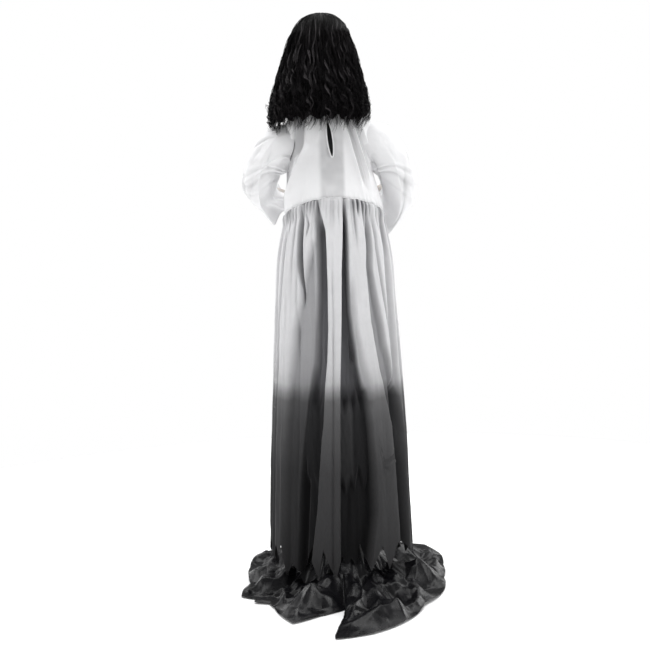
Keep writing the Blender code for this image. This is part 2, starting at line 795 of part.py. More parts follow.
def leg_direction(index):
    angle = math.radians(LEG_FIRST_ANGLE) + index * math.tau / LEG_COUNT
    return Vector((math.cos(angle), math.sin(angle), 0))


def make_legs(floor_cut):
    names = ("rear_left", "rear_right", "front_right", "front_left")
    for index, side in enumerate(names):
        place = {"location": (0, 0, LEG_HEIGHT), "rotation": aim(leg_direction(index))}
        tube(
            f"leg_{side}", LEG_RADIUS, LEG_RADIUS - TUBE_WALL, LEG_START, LEG_REACH, "steel",
            steps=SMALL_STEPS, **place,
        )
        cap_start = LEG_REACH + FOOT_WALL - FOOT_LENGTH
        cap_end = LEG_REACH + FOOT_WALL
        socket = LEG_RADIUS + GAP
        cap = turned(
            f"foot_cap_{side}",
            [
                (0, cap_end),
                (FOOT_RADIUS - FOOT_FLAT, cap_end),
                (FOOT_RADIUS, cap_end - FOOT_WALL),
                (FOOT_RADIUS, cap_start),
                (socket, cap_start),
                (socket, LEG_REACH + GAP),
                (0, LEG_REACH + GAP),
            ],
            "rubber", steps=SMALL_STEPS, **place,
        )
        combine(cap, floor_cut)


def make_pole():
    lengths = (POLE_LOWER_LENGTH, POLE_MIDDLE_LENGTH, POLE_UPPER_LENGTH)
    for name, start, length in zip(("lower", "middle", "upper"), POLE_STARTS, lengths):
        end = start + length
        if name == "upper":
            tube(f"pole_{name}", POLE_RADIUS, POLE_BORE, start, end, "steel")
            continue
        neck_bore = SWAGE_RADIUS - TUBE_WALL
        turned(
            f"pole_{name}",
            [
                (SWAGE_RADIUS, end + SWAGE_LENGTH),
                (SWAGE_RADIUS, end + TUBE_WALL),
                (SWAGE_RADIUS, end),
                (POLE_RADIUS, end),
                (POLE_RADIUS, start),
                (POLE_BORE, start),
                (POLE_BORE, end - 2 * TUBE_WALL),
                (neck_bore, end - TUBE_WALL),
                (neck_bore, end + SWAGE_LENGTH),
            ],
            "steel", ring=True,
        )


def make_control_case():
    half = BOX_WIDTH / 2
    case = box(
        "control_case", (-half, CASE_BACK_Y, BOX_BASE_HEIGHT), (half, CASE_FRONT_Y, BOX_TOP_HEIGHT),
        "plastic", edge=BOX_EDGE,
    )
    inner_wall = CASE_FRONT_Y - BOX_WALL
    combine(case, box(
        "bay_cutter", (-BAY_HALF_WIDTH, CASE_FRONT_Y - BAY_DEPTH, BAY_LOW),
        (BAY_HALF_WIDTH, CASE_FRONT_Y + OVERRUN, BAY_HIGH), None,
    ))
    combine(case, box(
        "room_cutter", (-half + BOX_WALL, CASE_BACK_Y - OVERRUN, ROOM_LOW),
        (half - BOX_WALL, inner_wall, BOX_TOP_HEIGHT - BOX_WALL), None,
    ))
    pitch = 2 * SPEAKER_RADIUS / (GRILLE_SLOTS + 1)
    for index in range(GRILLE_SLOTS):
        offset = (index - (GRILLE_SLOTS - 1) / 2) * pitch
        half_length = math.sqrt((SPEAKER_RADIUS * GRILLE_SHARE) ** 2 - offset ** 2)
        slot_low = SPEAKER_HEIGHT + offset - GRILLE_SLOT_WIDTH / 2
        combine(case, box(
            f"grille_cutter_{index}", (SPEAKER_X - half_length, inner_wall - OVERRUN, slot_low),
            (SPEAKER_X + half_length, CASE_FRONT_Y + OVERRUN, slot_low + GRILLE_SLOT_WIDTH), None,
        ))
    combine(case, rod(
        "button_cutter", BUTTON_RADIUS + GAP, -BOX_WALL - OVERRUN, OVERRUN, None,
        location=(CONTROLS_X, CASE_FRONT_Y, BUTTON_HEIGHT), rotation=aim(-FRONT), steps=SMALL_STEPS,
    ))
    reach = (SWITCH_LENGTH + SWITCH_TRAVEL) / 2 + GAP
    combine(case, box(
        "switch_cutter",
        (CONTROLS_X - SWITCH_WIDTH / 2 - GAP, inner_wall - OVERRUN, SWITCH_HEIGHT - reach),
        (CONTROLS_X + SWITCH_WIDTH / 2 + GAP, CASE_FRONT_Y + OVERRUN, SWITCH_HEIGHT + reach), None,
    ))
    lug_radius = HINGE_RADIUS - GAP
    for side in (-1, 1):
        inner = side * (HINGE_LENGTH / 2 + GAP)
        outer = side * (HINGE_LENGTH / 2 + GAP + HINGE_LUG)
        lug = box(
            f"hinge_lug_{side}",
            (min(inner, outer), CASE_FRONT_Y - BOX_WALL, HINGE_HEIGHT - lug_radius / 2),
            (max(inner, outer), HINGE_Y, HINGE_HEIGHT + lug_radius / 2), None,
        )
        combine(case, lug, "UNION")
        combine(case, rod(
            f"hinge_eye_{side}", lug_radius, min(inner, outer), max(inner, outer), None,
            location=(0, HINGE_Y, HINGE_HEIGHT), rotation=aim((1, 0, 0)), steps=SMALL_STEPS,
        ), "UNION")
    reach = HINGE_LENGTH / 2 + GAP + HINGE_LUG / 2
    combine(case, rod(
        "hinge_pin", HINGE_PIN_RADIUS, -reach, reach, None,
        location=(0, HINGE_Y, HINGE_HEIGHT), rotation=aim((1, 0, 0)), steps=SMALL_STEPS,
    ), "UNION")
    centre_y = CASE_FRONT_Y - BAY_DEPTH + CELL_SPACE + CELL_RADIUS
    edge = CONTACT_THICKNESS
    for name, low, high in (
        ("lower", BAY_LOW - edge, BAY_LOW + GAP + edge), ("upper", BAY_HIGH - GAP - edge, BAY_HIGH + edge),
    ):
        combine(case, box(
            f"contact_rib_{name}", (-BAY_HALF_WIDTH + edge, centre_y - CELL_RADIUS, low),
            (BAY_HALF_WIDTH - edge, centre_y + CELL_RADIUS / 2, high), None,
        ), "UNION")


def make_battery_door(pivot):
    half = BAY_HALF_WIDTH + DOOR_MARGIN
    door = box(
        "battery_door", (-half, CASE_FRONT_Y + GAP, DOOR_LOW),
        (half, CASE_FRONT_Y + GAP + DOOR_THICKNESS, DOOR_HIGH), "plastic", pivot,
    )
    combine(door, box(
        "door_barrel_web", (-HINGE_LENGTH / 2, CASE_FRONT_Y + GAP, HINGE_HEIGHT),
        (HINGE_LENGTH / 2, CASE_FRONT_Y + GAP + DOOR_THICKNESS, DOOR_LOW + HINGE_RADIUS), None,
    ), "UNION")
    combine(door, rod(
        "door_barrel", HINGE_RADIUS, -HINGE_LENGTH / 2, HINGE_LENGTH / 2, None,
        location=(0, HINGE_Y, HINGE_HEIGHT), rotation=aim((1, 0, 0)), steps=SMALL_STEPS,
    ), "UNION")
    combine(door, rod(
        "door_bore", HINGE_PIN_RADIUS + GAP, -HINGE_LENGTH, HINGE_LENGTH, None,
        location=(0, HINGE_Y, HINGE_HEIGHT), rotation=aim((1, 0, 0)), steps=SMALL_STEPS,
    ))


def make_cells():
    centre_y = CASE_FRONT_Y - BAY_DEPTH + CELL_SPACE + CELL_RADIUS
    for index in range(CELL_COUNT):
        x = (index - (CELL_COUNT - 1) / 2) * CELL_PITCH
        turned(
            f"cell_{index + 1}",
            [
                (0, CELL_HIGH + CELL_TIP_LENGTH),
                (CELL_TIP_RADIUS, CELL_HIGH + CELL_TIP_LENGTH),
                (CELL_TIP_RADIUS, CELL_HIGH),
                (CELL_RADIUS, CELL_HIGH),
                (CELL_RADIUS, CELL_LOW),
                (0, CELL_LOW),
            ],
            "cell", location=(x, centre_y, 0), steps=SMALL_STEPS,
        )


def make_controls(switch_pivot, button_pivot):
    inner_wall = CASE_FRONT_Y - BOX_WALL
    turned(
        "speaker",
        [
            (0, -GAP - SPEAKER_DEPTH / 4),
            (SPEAKER_RADIUS * 0.35, -GAP - SPEAKER_DEPTH / 3),
            (SPEAKER_RADIUS * 0.9, -GAP),
            (SPEAKER_RADIUS, -GAP),
            (SPEAKER_RADIUS / 2, -SPEAKER_DEPTH * 0.6),
            (SPEAKER_RADIUS / 2, -SPEAKER_DEPTH),
            (0, -SPEAKER_DEPTH),
        ],
        "grey", location=(SPEAKER_X, inner_wall, SPEAKER_HEIGHT), rotation=aim(-FRONT),
    )
    board_y = CASE_BACK_Y + GAP
    half = BOX_WIDTH / 2 - BOARD_MARGIN
    box(
        "circuit_board", (-half, board_y, ROOM_LOW + BOARD_MARGIN),
        (half, board_y + BOARD_THICKNESS, BOX_TOP_HEIGHT - BOARD_MARGIN), "board",
    )
    flange_y = inner_wall - GAP
    spring_start = board_y + BOARD_THICKNESS + GAP
    turned(
        "try_me_button",
        [
            (0, BUTTON_PROUD),
            (BUTTON_RADIUS * 0.75, BUTTON_PROUD),
            (BUTTON_RADIUS, BUTTON_PROUD * 0.7),
            (BUTTON_RADIUS, flange_y - CASE_FRONT_Y),
            (BUTTON_RADIUS + BUTTON_FLANGE, flange_y - CASE_FRONT_Y),
            (BUTTON_RADIUS + BUTTON_FLANGE, flange_y - BUTTON_FLANGE - CASE_FRONT_Y),
            (0, flange_y - BUTTON_FLANGE - CASE_FRONT_Y),
        ],
        "red", button_pivot, location=(CONTROLS_X, CASE_FRONT_Y, BUTTON_HEIGHT), rotation=aim(-FRONT),
        steps=SMALL_STEPS,
    )
    spring_low = spring_start + SPRING_WIRE
    spring_high = flange_y - BUTTON_FLANGE - GAP - SPRING_WIRE
    radius = BUTTON_RADIUS * 0.6
    turns = []
    steps = SPRING_TURNS * 6
    for step in range(steps + 1):
        angle = math.tau * SPRING_TURNS * step / steps
        turns.append(Vector((
            CONTROLS_X + radius * math.cos(angle),
            blend(spring_low, spring_high, step / steps),
            BUTTON_HEIGHT + radius * math.sin(angle),
        )))
    wire("button_spring", turns, SPRING_WIRE, "motor", resolution=1)
    slider_x = CONTROLS_X
    slider_low = SWITCH_HEIGHT - (SWITCH_LENGTH + SWITCH_TRAVEL) / 2
    slider = box(
        "power_switch",
        (slider_x - SWITCH_WIDTH / 2, flange_y - BUTTON_FLANGE, slider_low),
        (slider_x + SWITCH_WIDTH / 2, CASE_FRONT_Y + SWITCH_PROUD, slider_low + SWITCH_LENGTH),
        "grey", switch_pivot,
    )
    combine(slider, box(
        "switch_flange",
        (slider_x - SWITCH_WIDTH, flange_y - BUTTON_FLANGE, slider_low - SWITCH_TRAVEL / 4),
        (slider_x + SWITCH_WIDTH, flange_y, slider_low + SWITCH_LENGTH + SWITCH_TRAVEL / 4), None,
    ), "UNION")


def make_saddle():
    half = BOX_WIDTH / 2
    back = box(
        "control_back", (-half, BACK_Y, BOX_BASE_HEIGHT),
        (half, BACK_Y + BACK_THICKNESS, BOX_TOP_HEIGHT), "plastic",
    )
    saddle_low = BOX_MIDDLE_HEIGHT - SADDLE_HEIGHT / 2
    saddle_high = BOX_MIDDLE_HEIGHT + SADDLE_HEIGHT / 2
    combine(back, box(
        "saddle_block", (-SADDLE_WIDTH / 2, GAP, saddle_low),
        (SADDLE_WIDTH / 2, BACK_Y + BACK_THICKNESS / 2, saddle_high), None,
    ), "UNION")
    clamp = box(
        "pole_clamp", (-SADDLE_WIDTH / 2, -CLAMP_DEPTH, saddle_low),
        (SADDLE_WIDTH / 2, -GAP, saddle_high), "plastic", edge=BLOCK_EDGE, segments=1,
    )
    pole_cut = rod("saddle_pole_cutter", POLE_RADIUS + GAP, saddle_low - OVERRUN, saddle_high + OVERRUN, None)
    combine(back, pole_cut)
    combine(clamp, pole_cut)
    for side, name in ((1, "left"), (-1, "right")):
        x = side * CLAMP_SCREW_SPREAD
        place = {"location": (x, 0, BOX_MIDDLE_HEIGHT), "rotation": aim(FRONT), "steps": SMALL_STEPS}
        depth = SADDLE_FACE - BOX_WALL
        combine(back, rod(
            f"screw_cutter_{name}", CLAMP_SCREW_RADIUS + GAP, -depth - GAP, OVERRUN, None, **place,
        ))
        combine(clamp, turned(
            f"clamp_screw_{name}",
            [
                (0, CLAMP_DEPTH + CLAMP_SCREW_RADIUS),
                (CLAMP_SCREW_HEAD * 0.8, CLAMP_DEPTH + CLAMP_SCREW_RADIUS),
                (CLAMP_SCREW_HEAD, CLAMP_DEPTH + CLAMP_SCREW_RADIUS / 4),
                (CLAMP_SCREW_HEAD, CLAMP_DEPTH - CLAMP_SCREW_RADIUS),
                (CLAMP_SCREW_RADIUS, CLAMP_DEPTH - CLAMP_SCREW_RADIUS),
                (CLAMP_SCREW_RADIUS, -depth),
                (0, -depth),
            ],
            None, **place,
        ), "UNION")


def involute(angle):
    return math.tan(angle) - angle


def tooth_points(module, teeth, centre_angle):
    """One involute tooth, anticlockwise, from the root on one flank to the root on the other."""
    pitch_radius = module * teeth / 2
    base_radius = pitch_radius * math.cos(PRESSURE_ANGLE)
    tip = pitch_radius + ADDENDUM_SHARE * module
    root = pitch_radius - DEDENDUM_SHARE * module
    start = max(base_radius, root)
    radii = [start + (tip - start) * step / FLANK_STEPS for step in range(FLANK_STEPS + 1)]
    if root < start:
        radii.insert(0, root)
    half_tooth = math.pi / teeth / 2 * (1 - BACKLASH_SHARE)
    flank = []
    for radius in radii:
        roll = math.acos(min(1, base_radius / max(radius, base_radius)))
        flank.append((radius, half_tooth + involute(PRESSURE_ANGLE) - involute(roll)))
    right = [(radius, centre_angle - half) for radius, half in flank]
    left = [(radius, centre_angle + half) for radius, half in reversed(flank)]
    return [(radius * math.cos(angle), radius * math.sin(angle)) for radius, angle in right + left]


def gear_outline(module, teeth, centre_angle, kept_each_side):
    """A gear or a toothed sector, whose middle tooth points along centre_angle."""
    points = []
    pitch = math.tau / teeth
    for index in range(-kept_each_side, kept_each_side + 1):
        points += tooth_points(module, teeth, centre_angle + index * pitch)
    root = module * teeth / 2 - DEDENDUM_SHARE * module
    first = centre_angle + (kept_each_side + 1) * pitch
    last = centre_angle + math.tau - (kept_each_side + 1) * pitch
    steps = max(1, round((last - first) / (math.tau / ROUND_STEPS)))
    for step in range(steps + 1):
        angle = blend(first, last, step / steps)
        points.append((root * math.cos(angle), root * math.sin(angle)))
    return points


def pinion_outline(module, teeth, facing_angle, centre):
    """A pinion with a gap between two teeth along facing_angle."""
    points = []
    pitch = math.tau / teeth
    for index in range(teeth):
        for x, y in tooth_points(module, teeth, facing_angle + (index + 0.5) * pitch):
            points.append((x + centre[0], y + centre[1]))
    return points


def circle_outline(radius, centre=(0, 0), steps=ROUND_STEPS):
    return [
        (
            centre[0] + radius * math.cos(math.tau * step / steps),
            centre[1] + radius * math.sin(math.tau * step / steps),
        )
        for step in range(steps)
    ]


def drive_outline(large, small, distance, steps=ROUND_STEPS):
    """Two round ends joined by their common tangents, the small one towards -Y."""
    lean = math.asin((large - small) / distance)
    points = []
    for step in range(steps + 1):
        angle = blend(-lean, math.pi + lean, step / steps)
        points.append((large * math.cos(angle), large * math.sin(angle)))
    for step in range(steps // 2 + 1):
        angle = blend(math.pi + lean, math.tau - lean, step / (steps // 2))
        points.append((small * math.cos(angle), -distance + small * math.sin(angle)))
    return points


def make_housing(name, large, small, distance, low, high, pivot=None):
    plate = flat_plate(name, [drive_outline(large, small, distance)], low, high, None)
    bpy.context.view_layer.update()
    solid = meshed(plate)
    CUTTERS.objects.unlink(solid)
    solid.hide_render = False
    solid.display_type = "TEXTURED"
    solid.data.materials.clear()
    solid.data.materials.append(make_material(name, "plastic"))
    PARTS.objects.link(solid)
    hang_on(solid, pivot)
    return solid


def make_waist_drive(pinion_pivot):
    place = (0, -WAIST_CENTRES, 0)
    large = POLE_RADIUS + GAP + WAIST_HOUSING_WALL
    small = WAIST_MOTOR_RADIUS + GAP + WAIST_HOUSING_WALL
    housing = make_housing("waist_housing", large, small, WAIST_CENTRES, HOUSING_BOTTOM, HOUSING_TOP)
    spindle = rod(
        "spindle_body", SPINDLE_RADIUS, HOUSING_TOP - WAIST_HOUSING_WALL, HOUSING_TOP + SPINDLE_HEIGHT, None,
    )
    combine(housing, spindle, "UNION")
    combine(housing, rod(
        "waist_pole_bore", POLE_RADIUS + GAP, HOUSING_BOTTOM - OVERRUN, POLE_TOP + GAP, None,
    ))
    motor_top = HOUSING_TOP - WAIST_HOUSING_WALL
    combine(housing, rod(
        "waist_motor_bore", WAIST_MOTOR_RADIUS + GAP, HOUSING_BOTTOM - OVERRUN, motor_top + GAP,
        None, location=place,
    ))
    combine(housing, rod(
        "waist_shaft_bore", WAIST_SHAFT_RADIUS + GAP, motor_top, HOUSING_TOP + OVERRUN, None,
        location=place, steps=SMALL_STEPS,
    ))
    make_motor("waist_motor", WAIST_MOTOR_RADIUS, WAIST_MOTOR_LENGTH, motor_top,
               WAIST_SHAFT_RADIUS, WAIST_GEAR_HIGH, place)
    flat_plate(
        "waist_pinion",
        [
            pinion_outline(WAIST_MODULE, WAIST_PINION_TEETH, math.pi / 2, place),
            circle_outline(WAIST_SHAFT_RADIUS + GAP, place, SMALL_STEPS),
        ],
        WAIST_GEAR_LOW, WAIST_GEAR_HIGH, "gear", pinion_pivot,
    )


def make_motor(name, radius, length, top, shaft, shaft_end, place, pivot=None):
    turned(
        name,
        [
            (0, shaft_end),
            (shaft, shaft_end),
            (shaft, top),
            (radius, top),
            (radius, top - length),
            (radius / 2, top - length - radius * MOTOR_PIP_SHARE),
            (0, top - length - radius * MOTOR_PIP_SHARE),
        ],
        "motor", pivot, location=place,
    )


def make_spine(pivot):
    flat_plate(
        "waist_gear",
        [
            gear_outline(WAIST_MODULE, WAIST_TEETH, -math.pi / 2, WAIST_KEPT_EACH_SIDE),
            circle_outline(SPINDLE_RADIUS + RUN_GAP),
        ],
        WAIST_GEAR_LOW, WAIST_GEAR_HIGH, "gear", pivot,
    )
    bore = SPINDLE_RADIUS + RUN_GAP
    flange_high = SPINE_LOW + SPINE_FLANGE_THICKNESS
    turned(
        "spine_tube",
        [
            (SPINE_RADIUS, SPINE_HIGH),
            (SPINE_RADIUS, flange_high),
            (SPINE_FLANGE_RADIUS, flange_high),
            (SPINE_FLANGE_RADIUS, SPINE_LOW),
            (bore, SPINE_LOW),
            (bore, SPINE_HIGH),
        ],
        "steel", pivot, ring=True,
    )
    block = box(
        "shoulder_block", (-BLOCK_WIDTH / 2, -BLOCK_DEPTH / 2, BLOCK_LOW),
        (BLOCK_WIDTH / 2, BLOCK_DEPTH / 2, BLOCK_HIGH), "plastic", pivot, edge=BLOCK_EDGE, segments=1,
    )
    socket = rod(
        "block_socket", SPINE_RADIUS + GAP + BLOCK_SOCKET_WALL, BLOCK_LOW - BLOCK_SOCKET_DEPTH,
        BLOCK_LOW + BLOCK_EDGE, None,
    )
    combine(block, socket, "UNION")
    combine(block, rod(
        "block_spine_bore", SPINE_RADIUS + GAP, BLOCK_LOW - BLOCK_SOCKET_DEPTH - OVERRUN, BLOCK_LOW, None,
    ))
    combine(block, rod(
        "block_bar_bore", BAR_RADIUS + GAP, -BLOCK_WIDTH, BLOCK_WIDTH, None,
        location=(0, 0, BAR_HEIGHT), rotation=aim((1, 0, 0)),
    ))
    tube(
        "shoulder_bar", BAR_RADIUS, BAR_RADIUS - TUBE_WALL, -BAR_HALF_LENGTH, BAR_HALF_LENGTH, "steel",
        pivot, location=(0, 0, BAR_HEIGHT), rotation=aim((1, 0, 0)),
    )


def make_neck_drive(pivot, pinion_pivot, head_pivot):
    place = (0, -NECK_CENTRES, 0)
    large = NECK_POST_RADIUS + GAP + NECK_HOUSING_WALL
    small = NECK_MOTOR_RADIUS + GAP
    housing = make_housing(
        "neck_housing", large, small, NECK_CENTRES, NECK_HOUSING_LOW, NECK_HOUSING_HIGH, pivot,
    )
    combine(housing, rod(
        "neck_post_bore", NECK_POST_RADIUS + GAP, NECK_HOUSING_HIGH - NECK_POST_DEPTH - GAP,
        NECK_HOUSING_HIGH + OVERRUN, None,
    ))
    combine(housing, rod(
        "neck_shaft_bore", NECK_SHAFT_RADIUS + GAP, NECK_HOUSING_LOW - OVERRUN,
        NECK_HOUSING_HIGH + OVERRUN, None, location=place, steps=SMALL_STEPS,
    ))
    make_motor("neck_motor", NECK_MOTOR_RADIUS, NECK_MOTOR_LENGTH, NECK_HOUSING_LOW - GAP,
               NECK_SHAFT_RADIUS, NECK_GEAR_HIGH, place, pivot)
    flat_plate(
        "neck_pinion",
        [
            pinion_outline(NECK_MODULE, NECK_PINION_TEETH, math.pi / 2, place),
            circle_outline(NECK_SHAFT_RADIUS + GAP, place, SMALL_STEPS),
        ],
        NECK_GEAR_LOW, NECK_GEAR_HIGH, "gear", pinion_pivot,
    )
    flat_plate(
        "neck_gear",
        [
            gear_outline(NECK_MODULE, NECK_TEETH, -math.pi / 2, NECK_KEPT_EACH_SIDE),
            circle_outline(NECK_POST_RADIUS + GAP),
        ],
        NECK_GEAR_LOW, NECK_GEAR_HIGH, "gear", head_pivot,
    )
    flange_low = NECK_GEAR_HIGH + GAP
    flange_high = flange_low + NECK_FLANGE_THICKNESS
    turned(
        "neck_post",
        [
            (0, NECK_POST_HIGH),
            (NECK_POST_RADIUS, NECK_POST_HIGH),
            (NECK_POST_RADIUS, flange_high),
            (NECK_FLANGE_RADIUS, flange_high),
            (NECK_FLANGE_RADIUS, flange_low),
            (NECK_POST_RADIUS, flange_low),
            (NECK_POST_RADIUS, NECK_HOUSING_HIGH - NECK_POST_DEPTH),
            (0, NECK_HOUSING_HIGH - NECK_POST_DEPTH),
        ],
        "steel", head_pivot,
    )


def torso_ring(height_share, width_share, depth_share, grow=0.0, rise=0.0, columns=TORSO_COLUMNS):
    """One level of the torso form, moved outwards by grow and up by rise."""
    height = TORSO_BOTTOM + height_share * TORSO_HEIGHT + rise
    ring = []
    for column in range(columns):
        angle = math.tau * column / columns
        x, y = oval_point(
            angle, TORSO_HALF_WIDTH * width_share + grow, TORSO_HALF_DEPTH * depth_share + grow,
            TORSO_POWER,
        )
        ring.append(Vector((x, y, height)))
    return ring


def make_torso_shells(pivot):
    bar_cut = rod(
        "shell_bar_cutter", BAR_RADIUS + GAP, -TORSO_HALF_WIDTH - OVERRUN, TORSO_HALF_WIDTH + OVERRUN,
        None, location=(0, 0, BAR_HEIGHT), rotation=aim((1, 0, 0)),
    )
    rings = [torso_ring(*row) for row in reversed(TORSO_ROW_SHARES)]
    reach = 2 * TORSO_HALF_WIDTH
    for name, side in (("torso_front_shell", -1), ("torso_back_shell", 1)):
        shell = thicken(skin_rings(name, rings, "plastic", pivot), SHELL_WALL)
        near, far = -side * reach, side * GAP / 2
        half_cut = box(
            f"{name}_cutter", (-reach, min(near, far), TORSO_BOTTOM - OVERRUN),
            (reach, max(near, far), TORSO_TOP + OVERRUN), None,
        )
        combine(shell, half_cut)
        combine(shell, bar_cut)


def gauss(value, width):
    return math.exp(-(value / width) ** 2)


def face_relief(x, z):
    """How far a plain, symmetric face stands in front of the egg-shaped head, in head widths.

    x runs from the middle line and z up from the eye line, both in head half widths.
    """
    relief = 0.0
    for height, x_middle, x_width, z_middle, z_width in FACE_SHARES:
        relief += height * gauss(abs(x) - x_middle, x_width) * gauss(z - z_middle, z_width)
    return relief


def head_point(turn, lift):
    """A point of the head; turn runs round it, lift from the chin (-90 degrees) to the crown."""
    level = math.sin(lift)
    ring = math.cos(lift)
    jaw = 1 - 0.24 * max(0.0, -level) ** 1.4
    x = HEAD_HALF_WIDTH * ring * math.cos(turn) * jaw
    y = HEAD_HALF_DEPTH * ring * math.sin(turn)
    if y < 0:
        y *= 1 - 0.06 * max(0.0, level)
    z = HEAD_HALF_HEIGHT * level
    if y < 0:
        facing = min(1.0, -y / HEAD_HALF_DEPTH * 1.6)
        y -= HEAD_HALF_WIDTH * face_relief(x / HEAD_HALF_WIDTH, z / HEAD_HALF_WIDTH) * facing
    return Vector((x, y + HEAD_CENTRE_DEPTH, z + HEAD_CENTRE_HEIGHT))


def make_head(pivot):
    rings = []
    for row in range(1, HEAD_ROWS):
        lift = math.pi / 2 - math.pi * row / HEAD_ROWS
        rings.append([head_point(math.tau * column / HEAD_COLUMNS, lift) for column in range(HEAD_COLUMNS)])
    head = skin_rings("head", rings, "skin", pivot, closed_ends=True)
    neck = turned(
        "neck_body",
        [
            (0, NECK_TOP),
            (NECK_HALF_WIDTH * 1.06, NECK_TOP),
            (NECK_HALF_WIDTH * 0.98, blend(NECK_BOTTOM, NECK_TOP, 0.5)),
            (NECK_HALF_WIDTH, NECK_BOTTOM),
            (0, NECK_BOTTOM),
        ],
        None,
    )
    combine(head, neck, "UNION")
    combine(head, rod(
        "head_post_bore", NECK_POST_RADIUS + GAP, NECK_BOTTOM - OVERRUN, NECK_POST_HIGH + GAP, None,
    ))
    for side, name in ((1, "left"), (-1, "right")):
        place = (side * EYE_SPREAD, HEAD_CENTRE_DEPTH - EYE_DEPTH, HEAD_CENTRE_HEIGHT)
        socket = eyeball(f"eye_socket_{name}", EYE_RADIUS + GAP, None, None, place)
        combine(head, socket)
        eyeball(f"eye_{name}", EYE_RADIUS, "eye", pivot, place)


def eyeball(name, radius, finish, pivot, place):
    mesh = bpy.data.meshes.new(name)
    shape = bmesh.new()
    bmesh.ops.create_uvsphere(shape, u_segments=10, v_segments=7, radius=radius)
    shape.to_mesh(mesh)
    shape.free()
    return add_item(name, mesh, finish, pivot, location=place, rotation=aim(FRONT))


def make_wig(pivot):
    rings = []
    for height_share, width_share, depth_share in WIG_ROW_SHARES:
        height = blend(WIG_TOP, WIG_BOTTOM, height_share)
        ring = []
        for column in range(WIG_COLUMNS):
            angle = math.tau * column / WIG_COLUMNS
            lock = math.cos(WIG_LOCKS * angle + 5 * height_share + 2 * math.sin(3 * angle))
            swell = WIG_LOCK_DEPTH * lock * min(1.0, 2 * height_share)
            x, y = oval_point(
                angle, WIG_HALF_WIDTH * width_share + swell, WIG_HALF_DEPTH * depth_share + swell, 2.2,
            )
            ring.append(Vector((x, y + WIG_BACK_SHIFT, height)))
        rings.append(ring)
    wig = skin_rings("wig", rings, "hair", pivot, closed_ends=True)
    cap_mesh = bpy.data.meshes.new("wig_cap_cutter")
    shape = bmesh.new()
    bmesh.ops.create_uvsphere(shape, u_segments=32, v_segments=20, radius=1)
    cap_size = Vector((HEAD_HALF_WIDTH, HEAD_HALF_DEPTH, HEAD_HALF_HEIGHT)) + Vector([WIG_CAP_GAP] * 3)
    bmesh.ops.scale(shape, vec=cap_size, verts=shape.verts)
    shape.to_mesh(cap_mesh)
    shape.free()
    combine(wig, add_item(
        "wig_cap_cutter", cap_mesh, None, location=(0, HEAD_CENTRE_DEPTH, HEAD_CENTRE_HEIGHT),
    ))
    nape = HEAD_CENTRE_HEIGHT - HEAD_HALF_HEIGHT / 2
    hollow = turned(
        "wig_hollow_cutter",
        [
            (0, nape + HEAD_HALF_HEIGHT / 4),
            (HEAD_HALF_WIDTH * 0.8, nape + HEAD_HALF_HEIGHT / 5),
            (HEAD_HALF_WIDTH * 1.05, nape),
            (WIG_INNER_WIDTH, nape - HEAD_HALF_HEIGHT * 0.65),
            (WIG_INNER_WIDTH, WIG_BOTTOM - OVERRUN),
            (0, WIG_BOTTOM - OVERRUN),
        ],
        None,
    )
    hollow.scale = (1.0, WIG_INNER_BACK / WIG_INNER_WIDTH, 1.0)
    combine(wig, hollow)
    reach = 2 * WIG_HALF_WIDTH
    combine(wig, box(
        "wig_face_cutter", (-WIG_FACE_HALF_WIDTH, -reach, WIG_BOTTOM - OVERRUN),
        (WIG_FACE_HALF_WIDTH, -HEAD_HALF_DEPTH / 3, WIG_FACE_TOP), None, edge=WIG_FACE_HALF_WIDTH / 2,
    ))
    combine(wig, box(
        "wig_side_cutter", (-reach, -reach, WIG_BOTTOM - OVERRUN),
        (reach, WIG_INNER_BACK, WIG_SIDE_BOTTOM), None,
    ))


def mirrored(point, side):
    return Vector((point[0] * side, point[1], point[2]))


